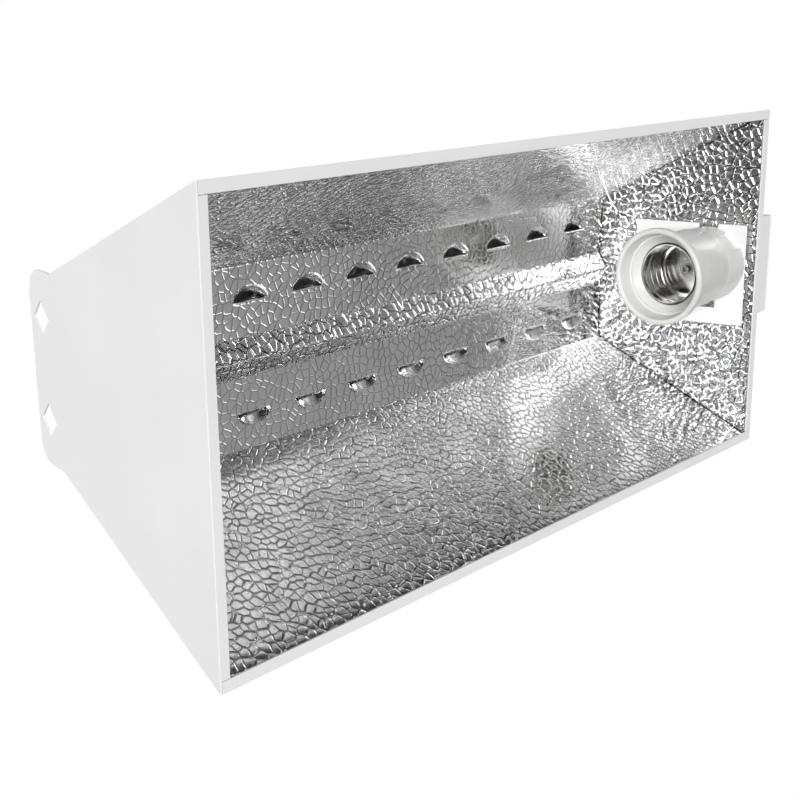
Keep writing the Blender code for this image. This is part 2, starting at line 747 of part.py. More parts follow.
def stud_places():
    """Stud centres in the socket frame, inside the bracket and the junction box."""
    low_a, high_a, low_b, high_b = bracket_edges()
    foot = slope_at(BOX_FOOT + BOX_SHEET, 0) + STUD_EDGE
    head = min(high_b, slope_at(BOX_HEAD - BOX_SHEET, 0)) - STUD_EDGE
    return [(a, b) for b in (foot, head) for a in (low_a + STUD_EDGE, high_a - STUD_EDGE)]


def wire_slot(depth):
    """Opening that lets the nipple slide, in a sheet at this depth."""
    length = 2 * (SLIDE_TRAVEL + NIPPLE_RADIUS + SLOT_CLEARANCE)
    width = 2 * (NIPPLE_RADIUS + SLOT_CLEARANCE) / math.cos(END_LEAN)
    return obround((-LAMP_AXIS_Y, lamp_slope(depth)), length, width)


def stud_holes():
    return [circle(place, STUD_RADIUS + HOLE_CLEARANCE, SCREW_STEPS)
            for place in stud_places()]


def build_socket_bracket():
    low_a, high_a, low_b, high_b = bracket_edges()
    back, front = bracket_depths()
    slot_middle = lamp_slope((back + front) / 2)
    slot_low = slot_middle - SLOT_WIDTH / 2
    slot_high = slot_middle + SLOT_WIDTH / 2
    closed = low_a + SLOT_END_MARGIN
    outline = [(low_a, low_b), (high_a, low_b), (high_a, slot_low), (closed, slot_low),
               (closed, slot_high), (high_a, slot_high), (high_a, high_b), (low_a, high_b)]
    bracket = plate("socket_bracket", [outline], back, front, "white_enamel", frame=SOCKET_FRAME)
    studs = []
    end = -BOX_SHEET - STUD_END
    for a, b in stud_places():
        profile = [(back + BRACKET_SHEET / 2, 0), (back + BRACKET_SHEET / 2, STUD_COLLAR_RADIUS),
                   (LINER_INSET + GAP, STUD_COLLAR_RADIUS), (LINER_INSET + GAP, STUD_RADIUS),
                   (end, STUD_RADIUS), (end, 0)]
        frame = SOCKET_FRAME @ fastener_frame((a, b, 0), (0, 0, 1))
        studs.append(lathe("stud", profile, SCREW_STEPS, "zinc_steel", frame=frame))
    return fuse(bracket, studs)


def build_bracket_nuts():
    for index, (a, b) in enumerate(stud_places()):
        frame = SOCKET_FRAME @ Matrix.Translation((a, b, 0))
        high = -BOX_SHEET - 2 * GAP
        loops = [circle((0, 0), NUT_RADIUS, 6),
                 circle((0, 0), STUD_RADIUS + HOLE_CLEARANCE, SCREW_STEPS)]
        plate(f"bracket_nut_{index + 1}", loops, high - NUT_HEIGHT, high, "zinc_steel",
              frame=frame)


def box_sides():
    """Y limits of the junction box."""
    return BRACKET_SHIFT - BRACKET_WIDTH / 2, BRACKET_SHIFT + BRACKET_WIDTH / 2


def build_junction_box():
    """An open tray: back sheet on the end plate, four walls and two cover tabs."""
    low_y, high_y = box_sides()
    edge = X_COVER - BOX_SHEET - GAP
    outer = [[[(x, y, z) for x in (socket_x(z, -GAP), edge)] for y in (low_y, high_y)]
             for z in (BOX_FOOT, BOX_HEAD)]
    made = block("junction_box", outer, "white_enamel")
    inner = [[[(x, y, z) for x in (socket_x(z, -GAP - BOX_SHEET), edge + BOX_SHEET)]
              for y in (low_y + BOX_SHEET, high_y - BOX_SHEET)]
             for z in (BOX_FOOT + BOX_SHEET, BOX_HEAD - BOX_SHEET)]
    cut(made, [block("hollow", inner, "white_enamel")])
    tabs = []
    for y, z in cover_screw_places():
        reach = COVER_SCREW_INSET + TAB_MARGIN
        inward = 1 if z < (BOX_FOOT + BOX_HEAD) / 2 else -1
        wall = BOX_FOOT if inward > 0 else BOX_HEAD
        low = min(wall + inward * BOX_SHEET / 2, wall + inward * reach)
        high = max(wall + inward * BOX_SHEET / 2, wall + inward * reach)
        tabs.append(box("tab", (edge - BOX_SHEET, y - TAB_WIDTH / 2, low),
                        (edge, y + TAB_WIDTH / 2, high), "white_enamel"))
    fuse(made, tabs)
    tools = []
    for a, b in stud_places():
        frame = SOCKET_FRAME @ fastener_frame((a, b, 0), (0, 0, 1))
        tools.append(round_drill(frame, STUD_RADIUS + HOLE_CLEARANCE))
    for loop in (wire_slot(0), earth_hole()):
        tools.append(plate("drill", [loop], -DRILL_REACH, DRILL_REACH, "white_enamel",
                           frame=SOCKET_FRAME))
    for y, z in cover_screw_places():
        tools.append(round_drill(Matrix.Translation((edge, y, z)), STUD_RADIUS))
    gland_x, gland_y = gland_place()
    frame = fastener_frame((gland_x, gland_y, BOX_HEAD), (0, 0, 1))
    tools.append(round_drill(frame, GLAND_THREAD_RADIUS + HOLE_CLEARANCE, PIPE_STEPS))
    return cut(made, tools)


def cover_screw_places():
    low_y, high_y = box_sides()
    return [((low_y + high_y) / 2, BOX_FOOT + COVER_SCREW_INSET),
            ((low_y + high_y) / 2, BOX_HEAD - COVER_SCREW_INSET)]


def rounded_rectangle(low, high, radius, steps=3):
    corners = (((high[0] - radius, low[1] + radius), -90), ((high[0] - radius, high[1] - radius), 0),
               ((low[0] + radius, high[1] - radius), 90), ((low[0] + radius, low[1] + radius), 180))
    points = []
    for centre, start in corners:
        points += arc(centre, radius, start, start + 90, steps)
    return points


def build_box_cover():
    low_y, high_y = box_sides()
    outline = rounded_rectangle((low_y, BOX_FOOT), (high_y, BOX_HEAD), BOX_SHEET)
    upright = Matrix(((0, 0, 1, X_COVER - BOX_SHEET), (1, 0, 0, 0), (0, 1, 0, 0), (0, 0, 0, 1)))
    holes = [circle(place, STUD_RADIUS, SCREW_STEPS) for place in cover_screw_places()]
    return plate("junction_box_cover", [outline] + holes, 0, BOX_SHEET, "white_enamel",
                 frame=upright)


def build_cover_screws():
    """Flush screws whose heads sit on the cover, inside its outer face's plane."""
    for index, (y, z) in enumerate(cover_screw_places()):
        frame = Matrix.Translation((X_COVER, y, z))
        shank = STUD_RADIUS - HOLE_CLEARANCE
        profile = [(0, 0), (0, shank), (-COVER_SCREW_LENGTH, shank), (-COVER_SCREW_LENGTH, 0)]
        lathe(f"cover_screw_{index + 1}", profile, SCREW_STEPS, "zinc_steel", frame=frame)


def gland_place():
    """X and Y of the cable inlet in the box's top wall."""
    low_y, high_y = box_sides()
    inner_x = socket_x(BOX_HEAD, -GAP - BOX_SHEET)
    return (inner_x + X_COVER) / 2, (low_y + high_y) / 2


def build_gland():
    x, y = gland_place()
    frame = fastener_frame((x, y, BOX_HEAD), (0, 0, 1))
    bore = GLAND_CABLE_RADIUS
    body = [(-GLAND_THREAD_FOOT, bore), (-GLAND_THREAD_FOOT, GLAND_THREAD_RADIUS),
            (GAP, GLAND_THREAD_RADIUS), (GAP, GLAND_FLANGE_RADIUS),
            (GLAND_FLANGE_HEIGHT, GLAND_FLANGE_RADIUS), (GLAND_FLANGE_HEIGHT, GLAND_THREAD_RADIUS),
            (GLAND_THREAD_TOP, GLAND_THREAD_RADIUS), (GLAND_THREAD_TOP, bore)]
    lathe("cable_gland", body, PIPE_STEPS, "black_nylon", frame=frame)
    thread = GLAND_THREAD_RADIUS + GAP
    shoulder, tip = [GLAND_FLANGE_RADIUS * share for share in GLAND_CAP_SHARES]
    seat = GLAND_THREAD_TOP + 2 * GAP
    cap = [(GLAND_CAP_FOOT, thread), (GLAND_CAP_FOOT, GLAND_FLANGE_RADIUS),
           (GLAND_CAP_SHOULDER, shoulder), (GLAND_CAP_TOP, tip), (GLAND_CAP_TOP, bore),
           (seat, bore), (seat, thread)]
    lathe("cable_gland_cap", cap, PIPE_STEPS, "black_nylon", frame=frame)
    high = -BOX_SHEET - GAP
    nut = [(high, thread), (high, GLAND_NUT_RADIUS),
           (high - GLAND_NUT_HEIGHT, GLAND_NUT_RADIUS), (high - GLAND_NUT_HEIGHT, thread)]
    lathe("cable_gland_nut", nut, PIPE_STEPS, "black_nylon", frame=frame)


# ---- lampholder -----------------------------------------------------------

def build_lampholder_body(parent):
    """Porcelain bell: mouth ring, funnel, shell bore, floor and rear recess."""
    ring = MOUTH_RADIUS
    floor_back = HOLDER_FLOOR_AT + HOLDER_FLOOR
    step_start = HOLDER_LENGTH - STEP_LENGTH
    stem_bore = CONTACT_STEM_RADIUS + 2 * GAP
    outside = arc((MOUTH_ROUNDING, ring - MOUTH_ROUNDING), MOUTH_ROUNDING, 180, 90, 2)
    outside += [(MOUTH_DEPTH, ring), (MOUTH_DEPTH + MOUTH_SHOULDER, ring - MOUTH_SHOULDER),
                (MOUTH_DEPTH + MOUTH_TAPER, HOLDER_RADIUS),
                (step_start - STEP_SLOPE, HOLDER_RADIUS), (step_start, CAP_RADIUS),
                (HOLDER_LENGTH, CAP_RADIUS)]
    inside = [(HOLDER_LENGTH, CAP_CAVITY_RADIUS), (floor_back, CAP_CAVITY_RADIUS),
              (floor_back, stem_bore), (HOLDER_FLOOR_AT, stem_bore), (HOLDER_FLOOR_AT, SHELL_BORE),
              (SHELL_FRONT - GAP, SHELL_BORE), (GROOVE_BACK, ring - GROOVE_FOOT),
              (GROOVE_FRONT, ring - GROOVE_RIM),
              (MOUTH_ROUNDING / 2, ring - MOUTH_CREST - MOUTH_ROUNDING)]
    made = lathe("lampholder_body", outside + inside, HOLDER_STEPS, "porcelain", parent)
    drills = []
    for sign in (1, -1):
        drills.append(rod("drill", HOLDER_FLOOR_AT + HOLDER_SCREW_TIP - 2 * GAP,
                          floor_back + GAP, HOLDER_SCREW_RADIUS + HOLE_CLEARANCE,
                          SCREW_STEPS, parent=parent,
                          frame=Matrix.Translation((0, 0, sign * HOLDER_SCREW_OFFSET))))
    return cut(made, drills)


def cap_back(z_local):
    """Distance behind the mouth of the cap's slanted back at a height above the axis."""
    front = bracket_depths()[1]
    return socket_x(LAMP_AXIS_Z + z_local, front + GAP) - X_MOUTH


def build_lampholder_cap(parent):
    """Porcelain rear cap whose slanted back sits flat on the leaning bracket."""
    start = HOLDER_LENGTH + GAP
    reach = cap_back(-CAP_RADIUS) + DRILL_REACH
    cavity_end = cap_back(CAP_RADIUS) - CAP_FLOOR
    profile = [(start, CAP_CAVITY_RADIUS), (start, CAP_RADIUS), (reach, CAP_RADIUS),
               (reach, NIPPLE_RADIUS + GAP), (cavity_end, NIPPLE_RADIUS + GAP),
               (cavity_end, CAP_CAVITY_RADIUS)]
    made = lathe("lampholder_cap", profile, HOLDER_STEPS, "porcelain", parent)
    span = 2 * CAP_RADIUS
    slant = [[[(x, y, z) for x in (cap_back(z), cap_back(-span) + span)] for y in (-span, span)]
             for z in (-span, span)]
    tools = [block("slant", slant, "porcelain", parent)]
    for turn in NOTCH_TURNS:
        frame = Matrix.Rotation(math.radians(turn), 4, "X")
        low = (cap_back(0) - NOTCH_LENGTH, CAP_RADIUS - NOTCH_DEPTH, -NOTCH_WIDTH / 2)
        high = (2 * reach, 2 * CAP_RADIUS, NOTCH_WIDTH / 2)
        tools.append(box("notch", low, high, "porcelain", parent, frame))
    for sign in (1, -1):
        frame = Matrix.Translation((0, 0, sign * HOLDER_SCREW_OFFSET))
        tools.append(rod("drill", cavity_end - GAP, 2 * reach,
                         HOLDER_SCREW_RADIUS + HOLE_CLEARANCE, SCREW_STEPS, parent=parent,
                         frame=frame))
        sink = cap_back(sign * HOLDER_SCREW_OFFSET) - HOLDER_SCREW_SINK
        tools.append(rod("drill", sink, 2 * reach, 2 * HOLDER_SCREW_RADIUS + HOLE_CLEARANCE, 12,
                         parent=parent, frame=frame))
    return cut(made, tools)


def build_lampholder_screws(parent):
    for name, sign in (("upper", 1), ("lower", -1)):
        seat = cap_back(sign * HOLDER_SCREW_OFFSET) - HOLDER_SCREW_SINK + GAP
        top = seat + HOLDER_SCREW_HEAD
        tip = HOLDER_FLOOR_AT + HOLDER_SCREW_TIP
        head = 2 * HOLDER_SCREW_RADIUS
        profile = [(top, 0), (top, head - HEAD_CROWN), (top - HEAD_CROWN, head), (seat, head),
                   (seat, HOLDER_SCREW_RADIUS), (tip, HOLDER_SCREW_RADIUS), (tip, 0)]
        frame = Matrix.Translation((0, 0, sign * HOLDER_SCREW_OFFSET))
        lathe(f"lampholder_screw_{name}", profile, SCREW_STEPS, "brass", parent, frame)


def thread_radius(along, radius, angle):
    """Screw shell radius: the thread's wave fades out at the front and the floor."""
    middle = SHELL_FRONT + SHELL_LENGTH / 2
    fade = max(0.0, 1 - (abs(along - middle) / (SHELL_LENGTH / 2)) ** 8)
    if radius < THREAD_MINOR - SHELL_WALL:
        fade = 0.0
    wave = math.cos(2 * math.pi * along / THREAD_PITCH - angle)
    return radius + fade * (THREAD_MAJOR - THREAD_MINOR) / 2 * wave


def build_screw_shell(parent):
    """Thin threaded cup with a hole in its floor for the centre contact."""
    middle = (THREAD_MAJOR + THREAD_MINOR) / 2
    back = SHELL_FRONT + SHELL_LENGTH
    hole = CONTACT_RADIUS + CONTACT_TRAVEL
    corner = THREAD_MINOR - SHELL_WALL
    inner_length = SHELL_LENGTH - 3 * SHELL_WALL
    inner = [(SHELL_FRONT + inner_length * row / SHELL_ROWS, middle)
             for row in range(SHELL_ROWS + 1)]
    inner += [(back - SHELL_WALL, corner - SHELL_WALL), (back - SHELL_WALL, hole)]
    outer = [(along, radius + SHELL_WALL) for along, radius in inner[:SHELL_ROWS + 1]]
    outer += [(back, corner), (back, hole)]
    return lathe("screw_shell", inner + outer[::-1], PIPE_STEPS, "nickel_brass", parent,
                 shape=thread_radius)


def build_centre_contact(parent):
    """Sprung eyelet contact; its head faces the lamp and its stem passes the floor."""
    end = HOLDER_FLOOR_AT + HOLDER_FLOOR - CONTACT_FRONT + CONTACT_TRAVEL
    floor, edge, crown = [CONTACT_RADIUS * share for share in EYELET_SHARES]
    profile = [(CONTACT_DIMPLE, 0), (CONTACT_DIMPLE, floor), (0, edge), (0, crown),
               (CONTACT_RADIUS - crown, CONTACT_RADIUS), (CONTACT_HEAD, CONTACT_RADIUS),
               (CONTACT_HEAD, CONTACT_STEM_RADIUS), (end, CONTACT_STEM_RADIUS), (end, 0)]
    lathe("centre_contact", profile, CONTACT_STEPS, "nickel_brass", parent)
    leaf = end + GAP
    box("contact_leaf", (leaf, -LEAF_WIDTH / 2, -LEAF_FOOT),
        (leaf + LEAF_SHEET, LEAF_WIDTH / 2, LEAF_TIP), "brass", parent)


def build_terminals(parent):
    """Brass blocks behind the floor that the leads end on."""
    low = HOLDER_FLOOR_AT + HOLDER_FLOOR + GAP
    length, width, height = TERMINAL_SIZE
    for name, sign in (("shell", 1), ("contact", -1)):
        middle = sign * TERMINAL_OFFSET
        made = box(f"terminal_{name}", (low, middle - width / 2, -height / 2),
                   (low + length, middle + width / 2, height / 2), "brass", parent)
        inner_face = sign * (TERMINAL_OFFSET - width / 2)
        frame = fastener_frame((low + length / 2, inner_face, 0), (0, sign, 0))
        cut(made, [rod("drill", -GAP, TERMINAL_BITE + GAP, WIRE_RADIUS + HOLE_CLEARANCE,
                       SCREW_STEPS, parent=parent, frame=frame)])


def nipple_end():
    """How far behind the mouth the nipple ends, just inside the junction box."""
    return socket_x(LAMP_AXIS_Z, -BOX_SHEET - NIPPLE_REACH) - X_MOUTH


def build_nipple(parent):
    start = cap_back(CAP_RADIUS) - CAP_FLOOR + GAP
    inner = NIPPLE_RADIUS - NIPPLE_WALL
    profile = [(start, inner), (start, NIPPLE_RADIUS), (nipple_end(), NIPPLE_RADIUS),
               (nipple_end(), inner)]
    return lathe("mounting_nipple", profile, PIPE_STEPS, "zinc_steel", parent)


def build_clamp_plate(parent):
    """Plate behind the bracket that the nipple draws against it."""
    back = bracket_depths()[0] - GAP
    middle = lamp_slope(back)
    stud_side = max(a for a, _ in stud_places()) - STUD_COLLAR_RADIUS
    half_width = stud_side - CLAMP_CLEARANCE - SLIDE_TRAVEL + LAMP_AXIS_Y
    low = (-LAMP_AXIS_Y - half_width, middle - CLAMP_HEIGHT / 2)
    high = (-LAMP_AXIS_Y + half_width, middle + CLAMP_HEIGHT / 2)
    frame = Matrix.Translation((-X_MOUTH, -LAMP_AXIS_Y, -LAMP_AXIS_Z)) @ SOCKET_FRAME
    made = plate("clamp_plate", [rounded_rectangle(low, high, CLAMP_CORNER_RADIUS)],
                 back - CLAMP_PLATE, back, "zinc_steel", parent, frame)
    return cut(made, [rod("drill", HOLDER_LENGTH, nipple_end(), NIPPLE_RADIUS + GAP, PIPE_STEPS,
                          parent=parent)])


def smooth_path(points, steps):
    """A Catmull-Rom curve through the points."""
    padded = [points[0]] + points + [points[-1]]
    path = []
    for index in range(1, len(padded) - 2):
        p0, p1, p2, p3 = [Vector(padded[index + shift]) for shift in (-1, 0, 1, 2)]
        for step in range(steps):
            t = step / steps
            path.append(0.5 * (2 * p1 + (p2 - p0) * t + (2 * p0 - 5 * p1 + 4 * p2 - p3) * t ** 2
                               + (3 * p1 - p0 - 3 * p2 + p3) * t ** 3))
    path.append(Vector(points[-1]))
    return path


def add_wire(name, points, slot, parent):
    """A round lead along a smooth route."""
    curve = bpy.data.curves.new(name, "CURVE")
    curve.dimensions = "3D"
    curve.bevel_depth = WIRE_RADIUS
    curve.bevel_resolution = 2
    curve.use_fill_caps = True
    path = smooth_path(points, 3)
    spline = curve.splines.new("POLY")
    spline.points.add(len(path) - 1)
    for point, place in zip(spline.points, path):
        point.co = (*place, 1)
    curve.materials.append(material(slot))
    made = bpy.data.objects.new(name, curve)
    bpy.context.collection.objects.link(made)
    made.parent = parent
    return made


def build_leads(parent):
    """Two leads from the terminals through the nipple to connectors in the box."""
    length, width, _ = TERMINAL_SIZE
    start = HOLDER_FLOOR_AT + HOLDER_FLOOR + GAP + length / 2
    bore_start = cap_back(CAP_RADIUS) - CAP_FLOOR + GAP
    end = nipple_end()
    bend = end + LEAD_BEND
    turn_x, turn_y, turn_z = LEAD_TURN_SHARES
    tip_radius, end_radius = [CONNECTOR_RADIUS * share for share in CONNECTOR_SHARES]
    bore = WIRE_RADIUS + HOLE_CLEARANCE
    profile = [(0, bore), (0, CONNECTOR_RADIUS), (CONNECTOR_SKIRT, CONNECTOR_RADIUS),
               (CONNECTOR_LENGTH - WIRE_RADIUS, tip_radius), (CONNECTOR_LENGTH, end_radius),
               (CONNECTOR_LENGTH, CONNECTOR_VENT_RADIUS),
               (CONNECTOR_BORE_DEPTH, CONNECTOR_VENT_RADIUS), (CONNECTOR_BORE_DEPTH, bore)]
    for name, slot, sign in (("live", "silicone_black", -1), ("neutral", "silicone_white", 1)):
        face = sign * (TERMINAL_OFFSET - width / 2)
        through = sign * WIRE_SPREAD
        tip_y = sign * CONNECTOR_SPACING / 2
        points = [(start, face + sign * TERMINAL_BITE, 0),
                  (start + GAP, face - sign * LEAD_TIP_OVERHANG, 0),
                  (start + 2 * WIRE_RADIUS, (face + through) / 2, 0),
                  (bore_start - WIRE_RADIUS, through * LEAD_FAN, 0),
                  (bore_start + WIRE_RADIUS, through, 0), ((bore_start + end) / 2, through, 0),
                  (end, through, 0),
                  (end + LEAD_BEND * turn_x, tip_y * turn_y, CONNECTOR_RISE * turn_z),
                  (bend, tip_y, CONNECTOR_RISE * LEAD_CLIMB_SHARE),
                  (bend, tip_y, CONNECTOR_RISE + CONNECTOR_BORE_DEPTH / 2)]
        add_wire(f"lead_{name}", points, slot, parent)
        frame = fastener_frame((bend, tip_y, CONNECTOR_RISE), (0, 0, 1))
        lathe(f"wire_connector_{name}", profile, 12, "connector_ceramic", parent, frame)


def build_lampholder():
    """Everything that slides with the lampholder; the contact has its own slide."""
    slide = new_empty("lampholder_axis", (X_MOUTH, LAMP_AXIS_Y, LAMP_AXIS_Z))
    contact = new_empty("contact_axis", (CONTACT_FRONT, 0, 0), slide)
    bpy.context.view_layer.update()
    build_lampholder_body(slide)
    build_lampholder_cap(slide)
    build_lampholder_screws(slide)
    build_screw_shell(slide)
    build_terminals(slide)
    build_nipple(slide)
    build_clamp_plate(slide)
    build_leads(slide)
    build_centre_contact(contact)


def build_earth_screw():
    """Bonding screw through the box's back sheet and the end plate."""
    low_a, high_a, _, _ = bracket_edges()
    frame = SOCKET_FRAME @ fastener_frame(((low_a + high_a) / 2, earth_slope(), 0), (0, 0, 1))
    low = -BOX_SHEET - 2 * GAP
    top = low - EARTH_HEAD_HEIGHT
    profile = [(top, 0), (top, EARTH_HEAD_RADIUS - HEAD_CROWN), (top + HEAD_CROWN, EARTH_HEAD_RADIUS),
               (low, EARTH_HEAD_RADIUS), (low, STUD_RADIUS), (EARTH_SCREW_TIP, STUD_RADIUS),
               (EARTH_SCREW_TIP, 0)]
    lathe("earth_screw", profile, 12, "brass", frame=frame)


def earth_slope():
    return slope_at(BOX_HEAD, 0) - EARTH_SCREW_DROP


def earth_hole():
    low_a, high_a, _, _ = bracket_edges()
    return circle(((low_a + high_a) / 2, earth_slope()), STUD_RADIUS + HOLE_CLEARANCE,
                  SCREW_STEPS)


def main():
    for existing in list(bpy.data.objects):
        bpy.data.objects.remove(existing)

    build_housing_shell()
    build_end_plate("end_plate_plain", PLAIN_FRAME, plain_x, X_PLAIN + LIP, [])
    socket_holes = stud_holes() + [earth_hole(), wire_slot(0)]
    build_end_plate("end_plate_socket", SOCKET_FRAME, socket_x, X_SOCKET - LIP, socket_holes)
    build_rivets()

    build_reflector_side("reflector_side_left", 1)
    build_reflector_side("reflector_side_right", -1)
    build_louvres(build_reflector_roof())
    build_reflector_end("reflector_end_plain", PLAIN_FRAME, [])
    liner_holes = stud_holes() + [wire_slot(LINER_INSET)]
    build_reflector_end("reflector_end_socket", SOCKET_FRAME, liner_holes)
    build_bridge("plain", 1)
    build_bridge("socket", -1)

    build_socket_bracket()
    build_bracket_nuts()
    build_junction_box()
    build_box_cover()
    build_cover_screws()
    build_gland()
    build_earth_screw()

    build_lampholder()


main()
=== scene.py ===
"""Looks of the grow lamp: hammered reflector, enamelled hood, porcelain lampholder.

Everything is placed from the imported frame, in metres: +X runs toward the
lampholder end and the hood opens toward -Z.
"""
import json
import math

import bmesh
import bpy
import numpy as np
from mathutils import Matrix, Vector


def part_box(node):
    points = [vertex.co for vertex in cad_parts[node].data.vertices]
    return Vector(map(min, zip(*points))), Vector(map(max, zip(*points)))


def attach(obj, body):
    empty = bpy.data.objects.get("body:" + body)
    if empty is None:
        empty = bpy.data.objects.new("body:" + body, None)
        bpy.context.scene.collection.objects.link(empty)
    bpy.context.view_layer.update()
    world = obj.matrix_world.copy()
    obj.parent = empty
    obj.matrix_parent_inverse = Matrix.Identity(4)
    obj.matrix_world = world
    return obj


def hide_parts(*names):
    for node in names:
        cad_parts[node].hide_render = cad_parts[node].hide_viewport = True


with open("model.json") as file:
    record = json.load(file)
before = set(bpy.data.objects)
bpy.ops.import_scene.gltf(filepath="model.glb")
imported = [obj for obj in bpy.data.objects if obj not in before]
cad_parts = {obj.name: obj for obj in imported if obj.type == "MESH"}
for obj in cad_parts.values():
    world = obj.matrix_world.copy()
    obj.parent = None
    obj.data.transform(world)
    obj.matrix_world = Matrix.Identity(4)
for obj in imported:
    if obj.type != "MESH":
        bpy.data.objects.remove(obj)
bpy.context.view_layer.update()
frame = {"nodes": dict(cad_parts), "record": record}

MM = 0.001

# ---- sizes that the frame doesn't name ------------------------------------

LINER = 0.8 * MM
LINER_SHARE = 0.6            # of the liner's thickness, for the wavy sheets
LINER_STEP = 2.0 * MM        # mesh spacing on the hammered sheets
WAVE_COUNT = 6
WAVE_LENGTH = 55.0 * MM      # slow waviness of the sheets
WAVE_HEIGHT = 0.25 * MM
SEAM_GROWTH = 0.35 * MM      # of each sheet, to close the seams between them
EDGE_BAND = 0.5 * MM         # what lies this near a face's edge counts as on it
PEBBLE_SIZE = 5.2 * MM
PEBBLE_HEIGHT = 0.24 * MM
# how much shade is painted into the colour of the pebbles' creases
CREASE_PAINTED_SHADE = 0.9
ROOF_PRESSED = 0.76          # how far rolling has flattened the pebbles, 1 for flat; lower values also paint more shade into the creases
RIDGE_PRESSED = -0.6
RIGHT_SIDE_PRESSED = -0.7

ROOF_STEP = 1.0 * MM         # mesh spacing on the louvred roof
ROOF_MARGIN = 0.5 * MM       # from the roof's ends to its wavy sheet
BURR_WIDTH = 1.2 * MM        # rolled edge that the louvre punch leaves at each slit
BURR_HEIGHT = 0.5 * MM
SLIT_LEAST = 0.15 * MM       # rise above which a slit is open
LOUVRE_COUNT = 9
LOUVRE_PITCH = 43.1 * MM
LOUVRE_LENGTH = 23.8 * MM
LOUVRE_REACH = 8.0 * MM
LOUVRE_RISE = 4.6 * MM
LOUVRE_LINE = 30.0 * MM
LOUVRE_SHIFT = 10.5 * MM
LOUVRE_BLEND = 0.3           # share of the rise over which the pebbles are drawn flat
LINER_ROOF_HALF = 49.0 * MM
RIDGE_BASE_HALF = 10.25 * MM
RIDGE_DEPTH = 7.0 * MM
ROOF_RISE = 2.0 * MM
LINER_FOLD = 1.26 * MM       # from a vent strip's edge to its folded-down flange
FOLD_STEEPNESS = 1.8
TINY = 1e-6

THREAD_MAJOR = 19.8 * MM
THREAD_MINOR = 18.1 * MM
THREAD_PITCH = 6.35 * MM
THREAD_ROWS = 90
THREAD_SHARE = 0.93          # of the shell's length
SHELL_WALL = 0.6 * MM
SHELL_HOLE = 5.0 * MM
CONTACT_ROLL = 0.65 * MM     # radius of the eyelet's rolled edge
CONTACT_STEM = 1.8 * MM
CONTACT_BORE = 0.9 * MM
CONTACT_BORE_DEPTH = 2.4 * MM
MOUTH_WIDTH = 3.6 * MM       # white bead between the mouth's rim and its groove
MOUTH_BLUNTNESS = 0.8
GROOVE_DEPTH = 10.5 * MM
CAP_STEP = 0.8 * MM          # how much narrower the cap is than the body
CAP_WALL = 5.0 * MM
FLOOR_THICKNESS = 6.0 * MM
STEM_BORE = 2.5 * MM
BORE_CLEARANCE = 0.9 * MM
# points of the body's outline in millimetres: distance along it and change of radius
NECK = ((4.6, 0.0), (5.4, -0.15), (6.2, -0.6), (7.0, -1.6))
WAIST = ((8.0, 2.2), (9.0, 1.1), (10.5, 0.4), (12.5, 0.1), (15.0, 0.0))
HEEL = ((-6.4, 0.8), (-5.8, 0.65), (-5.3, 0.1), (-4.8, 0.0), (-0.5, 0.0), (0.0, -0.5))
GROOVE = ((-0.4, -3.2), (0.0, -2.4), (-0.4, -1.6))

# edge rounding of each refined node, in millimetres
ROUNDING = {"housing_shell": 0.35, "end_plate_plain": 0.35, "end_plate_socket": 0.35,
            "junction_box": 0.4, "junction_box_cover": 0.4, "socket_bracket": 0.3,
            "lampholder_cap": 0.5, "reflector_spacer_plain": 0.3,
            "reflector_spacer_socket": 0.3, "clamp_plate": 0.3, "cable_gland": 0.3,
            "cable_gland_cap": 0.3, "cable_gland_nut": 0.3, "earth_screw": 0.15}

ROOM_LIGHT = 0.03
# soft sources: direction, where they fade out and where they are full in degrees, strength
SOURCES = [((-0.70, -0.25, -0.66), 25, 9, 11.0),
           ((-0.85, -0.10, 0.50), 60, 20, 0.28),
           ((0.42, 0.58, -0.70), 20, 13, 1.6),
           ((0.50, 0.20, -0.84), 32, 15, 0.30),
           ((0.72, -0.40, -0.57), 24, 6, 0.30),
           ((0.72, -0.56, -0.41), 9, 3, 1.2),
           ((0.0, -0.95, -0.2), 45, 10, 0.08),
           ((0.15, 0.10, 0.98), 88, 30, 0.80)]
FLOOR_HEIGHT = -0.75
FLOOR_HALF = 6.0
CAMERA_LENS = 61.46
CAMERA_SENSOR = 36.0
CAMERA_FORWARD = (0.7226, 0.2721, 0.6354)
CAMERA_RIGHT = (0.6584, 0.0091, -0.7526)
CAMERA_OFFSET = (-0.35394, -0.17484, -0.41754)  # from the plain end's rim edge

plain_low, plain_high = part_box("end_plate_plain")
RIM_START = plain_low.x
RIM_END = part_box("end_plate_socket")[1].x
RIM_MIDDLE = (RIM_START + RIM_END) / 2


# ---- node helpers ---------------------------------------------------------

